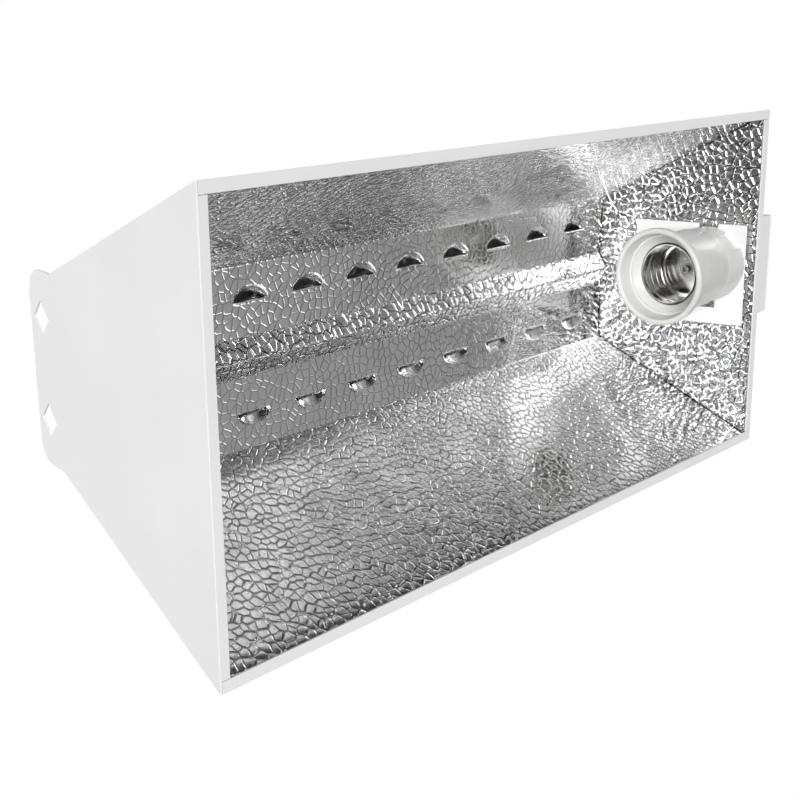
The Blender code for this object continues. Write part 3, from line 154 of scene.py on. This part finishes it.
class Shader:
    """A node material under construction around its Principled shader."""

    def __init__(self, name, roughness, metallic=0.0):
        self.material = bpy.data.materials.new(name)
        self.material.use_nodes = True
        self.tree = self.material.node_tree
        self.principled = self.tree.nodes["Principled BSDF"]
        self.principled.inputs["Metallic"].default_value = metallic
        self.principled.inputs["Roughness"].default_value = roughness
        coordinates = self.tree.nodes.new("ShaderNodeTexCoord")
        self.place = coordinates.outputs["Object"]

    def noise(self, scale, detail=2.0, roughness=0.5, stretch=None):
        node = self.tree.nodes.new("ShaderNodeTexNoise")
        node.inputs["Scale"].default_value = scale
        node.inputs["Detail"].default_value = detail
        node.inputs["Roughness"].default_value = roughness
        place = self.place
        if stretch:
            mapping = self.tree.nodes.new("ShaderNodeMapping")
            mapping.inputs["Scale"].default_value = stretch
            self.tree.links.new(place, mapping.inputs["Vector"])
            place = mapping.outputs["Vector"]
        self.tree.links.new(place, node.inputs["Vector"])
        return node.outputs["Fac"]

    def ramp(self, source, stops):
        """Map a value to colours or greys between (position, colour) stops."""
        node = self.tree.nodes.new("ShaderNodeValToRGB")
        elements = node.color_ramp.elements
        while len(elements) < len(stops):
            elements.new(0.5)
        for element, (position, colour) in zip(elements, stops):
            element.position = position
            if not hasattr(colour, "__len__"):
                colour = (colour, colour, colour)
            element.color = (*colour, 1.0)
        self.tree.links.new(source, node.inputs["Fac"])
        return node.outputs["Color"]

    def cells(self, feature, scale):
        node = self.tree.nodes.new("ShaderNodeTexVoronoi")
        node.feature = feature
        node.voronoi_dimensions = "2D"
        node.inputs["Randomness"].default_value = 0.85
        node.inputs["Scale"].default_value = scale
        self.tree.links.new(self.place, node.inputs["Vector"])
        return node.outputs["Distance"]

    def step(self, source, start, stop):
        """A soft step from 0 at start to 1 at stop."""
        node = self.tree.nodes.new("ShaderNodeMapRange")
        node.interpolation_type = "SMOOTHSTEP"
        node.inputs["From Min"].default_value = start
        node.inputs["From Max"].default_value = stop
        self.tree.links.new(source, node.inputs["Value"])
        return node.outputs["Result"]

    def join(self, operation, *terms):
        """A Math node over sockets and numbers."""
        node = self.tree.nodes.new("ShaderNodeMath")
        node.operation = operation
        for socket, term in zip(node.inputs, terms):
            if isinstance(term, (int, float)):
                socket.default_value = term
            else:
                self.tree.links.new(term, socket)
        return node.outputs["Value"]

    def attribute(self, name):
        node = self.tree.nodes.new("ShaderNodeAttribute")
        node.attribute_name = name
        return node.outputs["Vector"]

    def third_part(self):
        """The Z of the pattern's place: how far pressing has flattened the pebbles, which also
        sets how much shade is painted into their creases.
        """
        node = self.tree.nodes.new("ShaderNodeSeparateXYZ")
        self.tree.links.new(self.place, node.inputs["Vector"])
        return node.outputs["Z"]

    def wander(self, reach, scale):
        """Push the pattern's place about, so that its cells differ in size."""
        noise = self.tree.nodes.new("ShaderNodeTexNoise")
        noise.inputs["Scale"].default_value = scale
        noise.inputs["Detail"].default_value = 1.0
        self.tree.links.new(self.place, noise.inputs["Vector"])
        shift = self.tree.nodes.new("ShaderNodeVectorMath")
        shift.operation = "MULTIPLY_ADD"
        self.tree.links.new(noise.outputs["Color"], shift.inputs[0])
        shift.inputs[1].default_value = (reach, reach, 0.0)
        self.tree.links.new(self.place, shift.inputs[2])
        self.place = shift.outputs["Vector"]

    def drive(self, socket, source):
        self.tree.links.new(source, self.principled.inputs[socket])

    def colours(self, scale, detail, dark, light):
        """Let the base colour drift between two colours or greys."""
        tone = self.noise(scale, detail)
        self.drive("Base Color", self.ramp(tone, [(0.3, dark), (0.7, light)]))

    def gloss(self, scale, smooth, rough, stretch=None, spread=0.2):
        """Let the roughness drift between two values."""
        tone = self.noise(scale, 2.0, stretch=stretch)
        stops = [(0.5 - spread, smooth), (0.5 + spread, rough)]
        self.drive("Roughness", self.ramp(tone, stops))

    def bump(self, height, strength, distance):
        node = self.tree.nodes.new("ShaderNodeBump")
        node.inputs["Strength"].default_value = strength
        node.inputs["Distance"].default_value = distance
        self.tree.links.new(height, node.inputs["Height"])
        previous = self.principled.inputs["Normal"]
        if previous.is_linked:
            self.tree.links.new(previous.links[0].from_socket, node.inputs["Normal"])
        self.tree.links.new(node.outputs["Normal"], previous)


def white_enamel():
    shader = Shader("white_enamel", 0.38)
    shader.colours(9.0, 3.0, 0.80, 0.84)
    shader.gloss(60.0, 0.34, 0.44, spread=0.15)
    shader.bump(shader.noise(900.0), 0.12, 0.2 * MM)
    return shader.material


def hammered_aluminium():
    """Bright sheet rolled with flat-topped pebbles and narrow creases, with shade painted into the
    creases' colour.
    """
    shader = Shader("hammered_aluminium", 0.10, 1.0)
    tone = shader.noise(40.0, 3.0)
    shader.gloss(300.0, 0.06, 0.14, stretch=(1.0, 0.15, 0.15))
    shader.bump(shader.noise(1400.0, 3.0), 0.10, 0.1 * MM)
    shader.place = shader.attribute("sheet")
    shader.wander(1.1 * PEBBLE_SIZE, 0.3 / PEBBLE_SIZE)
    pressed = shader.third_part()
    edge = shader.cells("DISTANCE_TO_EDGE", 1 / PEBBLE_SIZE)
    centre = shader.cells("F1", 1 / PEBBLE_SIZE)
    # painted shade: the base colour is darkened along the narrow creases between pebbles, more
    # where the pebbles are less pressed
    crease = shader.step(edge, 0.055, 0.005)
    crease_shade_strength = shader.join("MULTIPLY_ADD", pressed, -0.5, CREASE_PAINTED_SHADE)
    crease_painted_shade = shader.join("MULTIPLY", crease, crease_shade_strength)
    brightness = shader.join("MULTIPLY_ADD", tone, 0.3, 0.66)
    brightness = shader.join("MULTIPLY", brightness, shader.join("SUBTRACT", 1.0, crease_painted_shade))
    shader.drive("Base Color", shader.ramp(brightness, [(0.0, 0.0), (1.0, 1.0)]))
    plateau = shader.step(edge, 0.03, 0.16)
    rounded = shader.step(centre, 0.72, 0.50)
    crown = shader.step(centre, 0.95, 0.0)
    pebble = shader.join("MULTIPLY", plateau, rounded)
    relief = shader.join("MULTIPLY_ADD", crown, 0.18, pebble)
    relief = shader.join("MULTIPLY", relief, shader.join("SUBTRACT", 1.0, pressed))
    shader.bump(relief, 1.0, PEBBLE_HEIGHT)
    return shader.material


def porcelain():
    shader = Shader("porcelain", 0.3)
    shader.principled.inputs["Coat Weight"].default_value = 0.25
    shader.principled.inputs["Coat Roughness"].default_value = 0.12
    shader.colours(70.0, 4.0, (0.64, 0.64, 0.63), (0.70, 0.70, 0.69))
    shader.gloss(220.0, 0.28, 0.42)
    shader.bump(shader.noise(500.0), 0.08, 0.2 * MM)
    return shader.material


def metal(name, dark, light, smooth, rough, grain=700.0):
    """A plated or bare metal with fine streaks and uneven gloss."""
    shader = Shader(name, smooth, 1.0)
    shader.colours(120.0, 3.0, dark, light)
    shader.gloss(grain, smooth, rough, stretch=(1.0, 1.0, 0.1))
    shader.bump(shader.noise(grain * 2), 0.08, 0.1 * MM)
    return shader.material


def moulded(name, dark, light, rough):
    """A moulded plastic, rubber or unglazed ceramic with a fine matt grain."""
    shader = Shader(name, rough)
    shader.colours(90.0, 3.0, dark, light)
    shader.gloss(400.0, rough - 0.06, rough + 0.06)
    shader.bump(shader.noise(1500.0), 0.2, 0.1 * MM)
    return shader.material


MATERIALS = {
    "white_enamel": white_enamel(),
    "hammered_aluminium": hammered_aluminium(),
    "porcelain": porcelain(),
    "nickel_brass": metal("nickel_brass", (0.40, 0.395, 0.385), (0.54, 0.535, 0.525), 0.07, 0.16),
    "brass": metal("brass", (0.62, 0.45, 0.20), (0.78, 0.60, 0.32), 0.22, 0.36),
    "zinc_steel": metal("zinc_steel", (0.52, 0.53, 0.55), (0.66, 0.67, 0.69), 0.25, 0.42),
    "black_nylon": moulded("black_nylon", 0.018, 0.035, 0.5),
    "silicone_black": moulded("silicone_black", 0.02, 0.04, 0.6),
    "silicone_white": moulded("silicone_white", (0.68, 0.67, 0.64), (0.78, 0.77, 0.74), 0.6),
    "connector_ceramic": moulded("connector_ceramic", (0.66, 0.61, 0.52),
                                 (0.78, 0.74, 0.66), 0.6),
}
SLOTS = {entry["node"]: entry["material_slot"] for entry in frame["record"]["subparts"]}
BODIES = {node: body for body, nodes in frame["record"]["behaviour"]["bodies"].items()
          for node in nodes}


def adopt(piece, *nodes):
    """Give a piece the body, slot and material of the CAD nodes it stands for."""
    slot = SLOTS[nodes[0]]
    piece.data.materials.clear()
    piece.data.materials.append(MATERIALS[slot])
    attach(piece, BODIES[nodes[0]])
    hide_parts(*nodes)
    return piece


def link(name, mesh):
    made = bpy.data.objects.new(name, mesh)
    bpy.context.scene.collection.objects.link(made)
    return made


# ---- refined copies of CAD nodes ------------------------------------------

def clean_mesh(node):
    """A welded copy of a node's mesh with its flat faces whole again."""
    bm = bmesh.new()
    bm.from_mesh(frame["nodes"][node].data)
    bmesh.ops.remove_doubles(bm, verts=bm.verts, dist=1e-6)
    bmesh.ops.dissolve_limit(bm, angle_limit=math.radians(0.5), verts=bm.verts, edges=bm.edges)
    mesh = bpy.data.meshes.new(node + "_fine")
    bm.to_mesh(mesh)
    bm.free()
    return mesh


def refine(node, width, segments=2, sharp=32):
    """A copy of a node with its edges rounded off."""
    piece = link(node + "_fine", clean_mesh(node))
    piece.data.shade_smooth()
    bevel = piece.modifiers.new("rounding", "BEVEL")
    bevel.width = width
    bevel.segments = segments
    bevel.limit_method = "ANGLE"
    bevel.angle_limit = math.radians(sharp)
    bevel.use_clamp_overlap = True
    weighted = piece.modifiers.new("flat faces", "WEIGHTED_NORMAL")
    weighted.weight = 100
    return adopt(piece, node)


# ---- hammered sheets ------------------------------------------------------

def waviness(u, v, seed):
    """Slow unevenness of a rolled sheet, from 0 down to -1."""
    generator = np.random.default_rng(seed)
    total = np.zeros(u.shape)
    for _ in range(WAVE_COUNT):
        heading, phase = generator.random(2) * 2 * math.pi
        turns = 2 * math.pi / (WAVE_LENGTH * (0.7 + generator.random()))
        total += np.sin(turns * (u * math.cos(heading) + v * math.sin(heading)) + phase)
    return (total / WAVE_COUNT - 1) / 2


def grid_mesh(name, points, sheet, split=None):
    """A mesh of quads through a rows by columns array of points.

    sheet holds each point's place on the flat sheet, for the hammered pattern.

    split, if given, holds a second point for each vertex used by the row above
    it; where it is not a number the two rows share the vertex.
    """
    rows, columns, _ = points.shape
    index = np.arange(rows * columns).reshape(rows, columns)
    upper = index.copy()
    verts = points.reshape(-1, 3)
    if split is not None:
        apart = ~np.isnan(split[:, :, 0])
        extra = split[apart]
        upper[apart] = rows * columns + np.arange(len(extra))
        verts = np.concatenate([verts, extra])
        sheet = np.concatenate([sheet.reshape(-1, 3), sheet[apart]])
    quads = np.stack([upper[:-1, :-1], upper[:-1, 1:], index[1:, 1:], index[1:, :-1]], axis=-1)
    quads = quads.reshape(-1, 4)
    mesh = bpy.data.meshes.new(name)
    mesh.vertices.add(len(verts))
    mesh.vertices.foreach_set("co", verts.astype(np.float32).ravel())
    mesh.loops.add(quads.size)
    mesh.loops.foreach_set("vertex_index", quads.astype(np.int32).ravel())
    mesh.polygons.add(len(quads))
    mesh.polygons.foreach_set("loop_start", np.arange(0, quads.size, 4, dtype=np.int32))
    mesh.update(calc_edges=True)
    place = mesh.attributes.new("sheet", "FLOAT_VECTOR", "POINT")
    place.data.foreach_set("vector", sheet.astype(np.float32).ravel())
    mesh.shade_smooth()
    return mesh


def largest_face(node, toward):
    """The normal and the vertices of a node's largest flat face toward a direction."""
    mesh = frame["nodes"][node].data
    areas = {}
    for polygon in mesh.polygons:
        if polygon.normal.dot(Vector(toward)) > 0.5:
            key = tuple(round(part, 2) for part in polygon.normal)
            areas[key] = areas.get(key, 0.0) + polygon.area
    best = Vector(max(areas, key=areas.get)).normalized()
    chosen = [polygon for polygon in mesh.polygons if polygon.normal.dot(best) > 0.9999]
    normal = sum((polygon.normal * polygon.area for polygon in chosen), Vector()).normalized()
    points = {index for polygon in chosen for index in polygon.vertices}
    return np.array(normal), np.array([mesh.vertices[index].co for index in points])


def hammered_panel(node, toward, along, seed, pressed):
    """A wavy sheet over a node's flat inner face, grown a little to close its seams."""
    normal, face = largest_face(node, toward)
    along = np.array(along, float)
    up = np.cross(normal, along)
    up = up * np.sign(up[2])
    a = face @ along
    b = face @ up
    spread_low = b < b.min() + EDGE_BAND
    spread_high = b > b.max() - EDGE_BAND
    low_start = face[spread_low][np.argmin(a[spread_low])]
    low_end = face[spread_low][np.argmax(a[spread_low])]
    high_start = face[spread_high][np.argmin(a[spread_high])]
    high_end = face[spread_high][np.argmax(a[spread_high])]
    low_start, low_end, high_start, high_end = (
        low_start - along * SEAM_GROWTH, low_end + along * SEAM_GROWTH,
        high_start + (up - along) * SEAM_GROWTH, high_end + (up + along) * SEAM_GROWTH)
    rows = int(np.ptp(b) / LINER_STEP) + 1
    columns = int(np.ptp(a) / LINER_STEP) + 1
    t = np.linspace(0, 1, rows)[:, None, None]
    s = np.linspace(0, 1, columns)[None, :, None]
    bottom = low_start * (1 - s) + low_end * s
    top = high_start * (1 - s) + high_end * s
    points = bottom * (1 - t) + top * t
    u = points @ along
    v = points @ up
    points = points + normal * (waviness(u, v, seed) * WAVE_HEIGHT)[:, :, None]
    sheet = np.stack([u + seed, v + seed, np.full(u.shape, pressed)], axis=-1)
    mesh = grid_mesh(node + "_hammered", points, sheet)
    piece = link(node + "_hammered", mesh)
    return thicken(piece, normal, node)


def thicken(piece, toward_lamp, node):
    """Give a one-sided sheet its thickness, away from the lamp."""
    mesh = piece.data
    normals = np.zeros(len(mesh.polygons) * 3, np.float32)
    mesh.polygons.foreach_get("normal", normals)
    facing = normals.reshape(-1, 3).mean(0) @ np.array(toward_lamp)
    if facing < 0:
        mesh.flip_normals()
    solidify = piece.modifiers.new("sheet", "SOLIDIFY")
    solidify.thickness = LINER * LINER_SHARE
    solidify.offset = -1.0
    return adopt(piece, node)


def louvre_height(x, y):
    """How far the pressed louvres stand out behind the roof sheet."""
    first = RIM_MIDDLE + LOUVRE_SHIFT - LOUVRE_PITCH * (LOUVRE_COUNT - 1) / 2
    number = np.clip(np.round((x - first) / LOUVRE_PITCH), 0, LOUVRE_COUNT - 1)
    dx = (x - first - number * LOUVRE_PITCH) / (LOUVRE_LENGTH / 2)
    dy = (np.abs(y) - LOUVRE_LINE) / LOUVRE_REACH
    lift = np.sqrt(np.clip(1 - dx ** 2, 0, 1)) - dy
    return np.where((dy >= -TINY) & (lift > 0), LOUVRE_RISE * lift, 0.0)


def louvre_burr(x, y):
    """How far the sheet's edge is rolled toward the lamp beside each slit."""
    near = np.clip(1 - (LOUVRE_LINE - np.abs(y)) / BURR_WIDTH, 0, 1) ** 2
    beside = louvre_height(x, np.full(y.shape, LOUVRE_LINE)) > 0
    return np.where(beside & (np.abs(y) < LOUVRE_LINE + TINY), BURR_HEIGHT * near, 0.0)


def roof_rows(fold_half, low_half):
    """Y of the roof mesh's rows, from one flange's lower edge to the other's."""
    stops = (0.0, RIDGE_BASE_HALF, LOUVRE_LINE - BURR_WIDTH, LOUVRE_LINE, LINER_ROOF_HALF)
    half = np.array([0.0])
    for near, far in zip(stops, stops[1:]):
        steps = max(2, round((far - near) / ROOF_STEP))
        half = np.concatenate([half, np.linspace(near, far, steps + 1)[1:]])
    half = np.concatenate([half, (fold_half, low_half)])
    return np.concatenate([-half[:0:-1], half])


def hammered_roof():
    """The reflector's roof: ridge, strips and louvres open along their slits."""
    node = "reflector_roof"
    low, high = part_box(node)
    roof_z = low.z + RIDGE_DEPTH - ROOF_RISE
    low_half = high.y - LINER
    fold_half = LINER_ROOF_HALF + LINER_FOLD
    lean = (plain_high.x - RIM_START) / plain_high.z
    trim = ROOF_MARGIN + lean * (roof_z - low.z)
    columns = int((high.x - low.x - 2 * trim) / ROOF_STEP) + 1
    x_columns = np.linspace(low.x + trim, high.x - trim, columns)
    y, x = np.meshgrid(roof_rows(fold_half, low_half), x_columns, indexing="ij")
    away = np.abs(y)
    strip = ROOF_RISE * (LINER_ROOF_HALF - away) / (LINER_ROOF_HALF - RIDGE_BASE_HALF)
    strip = np.clip(strip, 0, ROOF_RISE)
    strip = np.where(away > fold_half, (fold_half - away) * FOLD_STEEPNESS, strip)
    ridge = RIDGE_DEPTH * np.clip(1 - away / RIDGE_BASE_HALF, 0, 1)
    base = roof_z + strip - ridge - louvre_burr(x, y) - waviness(x, y, 11) * WAVE_HEIGHT
    rise = louvre_height(x, y)
    on_line = np.isclose(away, LOUVRE_LINE, atol=TINY)
    points = np.stack([x, y, np.where(on_line, base, base + rise)], axis=-1)
    lifted = np.stack([x, y, base + rise], axis=-1)
    slit = on_line & (rise > SLIT_LEAST)
    left = slit & (y > 0)
    right = slit & (y < 0)
    other = np.full(points.shape, np.nan)
    other[left] = lifted[left]
    other[right] = points[right]
    points[right] = lifted[right]
    pressed = np.where(away > RIDGE_BASE_HALF + EDGE_BAND, ROOF_PRESSED, RIDGE_PRESSED)
    drawn = np.clip(rise / (LOUVRE_BLEND * LOUVRE_RISE), 0, 1)
    sheet = np.stack([x + 11, y + 11, pressed + drawn * (1 - ROOF_PRESSED) / 2], axis=-1)
    piece = link(node + "_hammered", grid_mesh(node + "_hammered", points, sheet, other))
    return thicken(piece, (0, 0, -1), node)


def build_reflector():
    hammered_panel("reflector_side_left", (0, -1, 0), (1, 0, 0), 3, 0.0)
    hammered_panel("reflector_side_right", (0, 1, 0), (1, 0, 0), 5, RIGHT_SIDE_PRESSED)
    hammered_panel("reflector_end_plain", (1, 0, 0), (0, 1, 0), 7, 0.0)
    hammered_panel("reflector_end_socket", (-1, 0, 0), (0, 1, 0), 9, 0.0)
    hammered_roof()


# ---- lampholder -----------------------------------------------------------

def lathe(name, profile, steps, centre, smooth_angle=40, shape=None):
    """Turn (along, radius) points about an X axis through centre."""
    solid = profile[0][1] == 0 and profile[-1][1] == 0
    inner = profile[1:-1] if solid else profile
    bm = bmesh.new()
    rings = []
    for along, radius in inner:
        ring = []
        for step in range(steps):
            angle = 2 * math.pi * step / steps
            reach = shape(along, radius, angle) if shape else radius
            ring.append(bm.verts.new((centre.x + along, centre.y + reach * math.cos(angle),
                                      centre.z + reach * math.sin(angle))))
        rings.append(ring)
    pairs = list(zip(rings, rings[1:]))
    if not solid:
        pairs.append((rings[-1], rings[0]))
    for first, second in pairs:
        for step in range(steps):
            after = (step + 1) % steps
            bm.faces.new((first[step], first[after], second[after], second[step]))
    if solid:
        bm.faces.new(rings[0])
        bm.faces.new(rings[-1])
    bmesh.ops.recalc_face_normals(bm, faces=bm.faces)
    mesh = bpy.data.meshes.new(name)
    bm.to_mesh(mesh)
    bm.free()
    mesh.shade_smooth()
    mesh.set_sharp_from_angle(angle=math.radians(smooth_angle))
    return link(name, mesh)


def box_centre(node):
    """The lower-X centre of a node's box, its length along X and its half width."""
    low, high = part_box(node)
    centre = Vector((low.x, (low.y + high.y) / 2, (low.z + high.z) / 2))
    return centre, high.x - low.x, (high.y - low.y) / 2


def fine_screw_shell():
    """The lampholder's thread, rolled in thin plated sheet."""
    centre, length, _ = box_centre("screw_shell")
    middle = (THREAD_MAJOR + THREAD_MINOR) / 2
    depth = (THREAD_MAJOR - THREAD_MINOR) / 2

    def radius_at(along, radius, angle):
        if radius < THREAD_MINOR - 2 * MM:
            return radius
        fade = max(0.0, 1 - (abs(along - length / 2) / (length / 2)) ** 8)
        turn = 2 * math.pi * (along + centre.x) / THREAD_PITCH
        return radius + fade * depth * math.cos(turn - angle)

    wall = [(length * THREAD_SHARE * row / THREAD_ROWS, middle) for row in range(THREAD_ROWS + 1)]
    floor = length - SHELL_WALL
    inner = wall + [(floor - SHELL_WALL / 2, THREAD_MINOR - SHELL_WALL),
                    (floor, THREAD_MINOR - 4 * SHELL_WALL), (floor, SHELL_HOLE)]
    outer = [(along, radius + SHELL_WALL) for along, radius in wall]
    outer += [(length - SHELL_WALL / 2, THREAD_MINOR - SHELL_WALL / 3),
              (length, THREAD_MINOR - 4 * SHELL_WALL + SHELL_WALL / 3), (length, SHELL_HOLE)]
    piece = lathe("screw_shell_fine", inner + outer[::-1], 96, centre, 60, radius_at)
    return adopt(piece, "screw_shell")


def fine_contact():
    """Rolled eyelet on a stem, with a real hole down its middle."""
    centre, length, outer = box_centre("centre_contact")
    crown = [(CONTACT_ROLL * (1 - math.sin(turn)),
              outer - CONTACT_ROLL + CONTACT_ROLL * math.cos(turn))
             for turn in np.linspace(0, math.pi, 9)]
    back = 2 * CONTACT_ROLL
    profile = [(length, 0), (length, CONTACT_STEM), (back + 0.3 * MM, CONTACT_STEM),
               (back, outer)] + crown
    profile += [(CONTACT_BORE_DEPTH, CONTACT_BORE), (CONTACT_BORE_DEPTH, 0)]
    piece = lathe("centre_contact_fine", profile, 40, centre, 50)
    return adopt(piece, "centre_contact")


def millimetres(points, along_from, radius_from):
    """Outline points from offsets in millimetres."""
    return [(along_from + along * MM, radius_from + change * MM) for along, change in points]


def fine_lampholder_body():
    """Glazed porcelain bell: rolled mouth, groove, funnel and waisted body."""
    centre, length, ring = box_centre("lampholder_body")
    shell, shell_length, _ = box_centre("screw_shell")
    cap = box_centre("lampholder_cap")[2]
    body = cap + CAP_STEP
    bore = THREAD_MAJOR + BORE_CLEARANCE
    front = shell.x - centre.x
    back = front + shell_length
    bead = MOUTH_WIDTH / 2
    outside = [(bead * (1 - math.cos(turn)) * MOUTH_BLUNTNESS, ring - bead + bead * math.sin(turn))
               for turn in np.linspace(-math.pi / 2, math.pi / 2, 9)]
    outside += millimetres(NECK, 0, ring) + millimetres(WAIST, 0, body)
    outside += millimetres(HEEL, length, cap)
    wall = ring - MOUTH_WIDTH
    floor = back + FLOOR_THICKNESS
    seat = back + 0.3 * MM
    inside = [(length, cap - CAP_WALL), (floor, cap - CAP_WALL), (floor, STEM_BORE),
              (seat, STEM_BORE), (seat, bore), (front + 0.4 * MM, bore),
              (front - 0.2 * MM, bore + 0.6 * MM)]
    inside += millimetres(GROOVE, GROOVE_DEPTH, wall) + [(2.6 * MM, wall - 0.2 * MM)]
    piece = lathe("lampholder_body_fine", outside + inside, 96, centre, 35)
    return adopt(piece, "lampholder_body")


def build_small_pieces():
    for node, width in ROUNDING.items():
        refine(node, width * MM)
    for node, piece in frame["nodes"].items():
        if not piece.hide_render:
            piece.data.materials.clear()
            piece.data.materials.append(MATERIALS[SLOTS[node]])


# ---- studio ---------------------------------------------------------------

def build_floor():
    mesh = bpy.data.meshes.new("floor")
    half = FLOOR_HALF
    corners = [(-half, -half, 0), (half, -half, 0), (half, half, 0), (-half, half, 0)]
    mesh.from_pydata(corners, [], [(0, 1, 2, 3)])
    floor = link("floor", mesh)
    floor.location.z = FLOOR_HEIGHT
    material = bpy.data.materials.new("floor")
    material.use_nodes = True
    shader = material.node_tree.nodes["Principled BSDF"]
    shader.inputs["Base Color"].default_value = (0.85, 0.85, 0.85, 1.0)
    shader.inputs["Roughness"].default_value = 0.9
    mesh.materials.append(material)
    floor.visible_glossy = False
    floor.visible_diffuse = False
    floor.visible_shadow = False


def build_world():
    """White to the camera; to the object, a dim room with soft bright sources."""
    world = bpy.data.worlds.new("studio")
    bpy.context.scene.world = world
    world.use_nodes = True
    tree = world.node_tree
    tree.nodes.clear()
    add = tree.nodes.new
    output = add("ShaderNodeOutputWorld")
    mix = add("ShaderNodeMixShader")
    path = add("ShaderNodeLightPath")
    white = add("ShaderNodeBackground")
    white.inputs["Color"].default_value = (1, 1, 1, 1)
    room = add("ShaderNodeBackground")
    room.inputs["Color"].default_value = (1, 1, 1, 1)
    place = add("ShaderNodeTexCoord").outputs["Generated"]
    total = None
    for direction, wide, narrow, strength in SOURCES:
        dot = add("ShaderNodeVectorMath")
        dot.operation = "DOT_PRODUCT"
        dot.inputs[1].default_value = Vector(direction).normalized()
        tree.links.new(place, dot.inputs[0])
        soft = add("ShaderNodeMapRange")
        soft.interpolation_type = "SMOOTHSTEP"
        soft.inputs["From Min"].default_value = math.cos(math.radians(wide))
        soft.inputs["From Max"].default_value = math.cos(math.radians(narrow))
        soft.inputs["To Max"].default_value = strength
        tree.links.new(dot.outputs["Value"], soft.inputs["Value"])
        sum_node = add("ShaderNodeMath")
        sum_node.inputs[0].default_value = ROOM_LIGHT
        if total:
            tree.links.new(total, sum_node.inputs[0])
        tree.links.new(soft.outputs["Result"], sum_node.inputs[1])
        total = sum_node.outputs["Value"]
    tree.links.new(total, room.inputs["Strength"])
    tree.links.new(path.outputs["Is Camera Ray"], mix.inputs["Fac"])
    tree.links.new(room.outputs["Background"], mix.inputs[1])
    tree.links.new(white.outputs["Background"], mix.inputs[2])
    tree.links.new(mix.outputs["Shader"], output.inputs["Surface"])


def build_camera():
    """The photograph's viewpoint: below and beside the hood, turned on its side."""
    data = bpy.data.cameras.new("camera")
    data.lens = CAMERA_LENS
    data.sensor_width = CAMERA_SENSOR
    data.clip_start = 0.01
    camera = bpy.data.objects.new("camera", data)
    bpy.context.scene.collection.objects.link(camera)
    forward = Vector(CAMERA_FORWARD).normalized()
    right = Vector(CAMERA_RIGHT)
    right = (right - forward * right.dot(forward)).normalized()
    up = right.cross(forward)
    turn = Matrix((right, up, -forward)).transposed().to_4x4()
    place = Vector((RIM_START + CAMERA_OFFSET[0], *CAMERA_OFFSET[1:]))
    camera.matrix_world = Matrix.Translation(place) @ turn
    bpy.context.scene.camera = camera


build_reflector()
fine_screw_shell()
fine_lampholder_body()
fine_contact()
build_small_pieces()
build_floor()
build_world()
build_camera()
bpy.context.scene.view_settings.view_transform = "Standard"
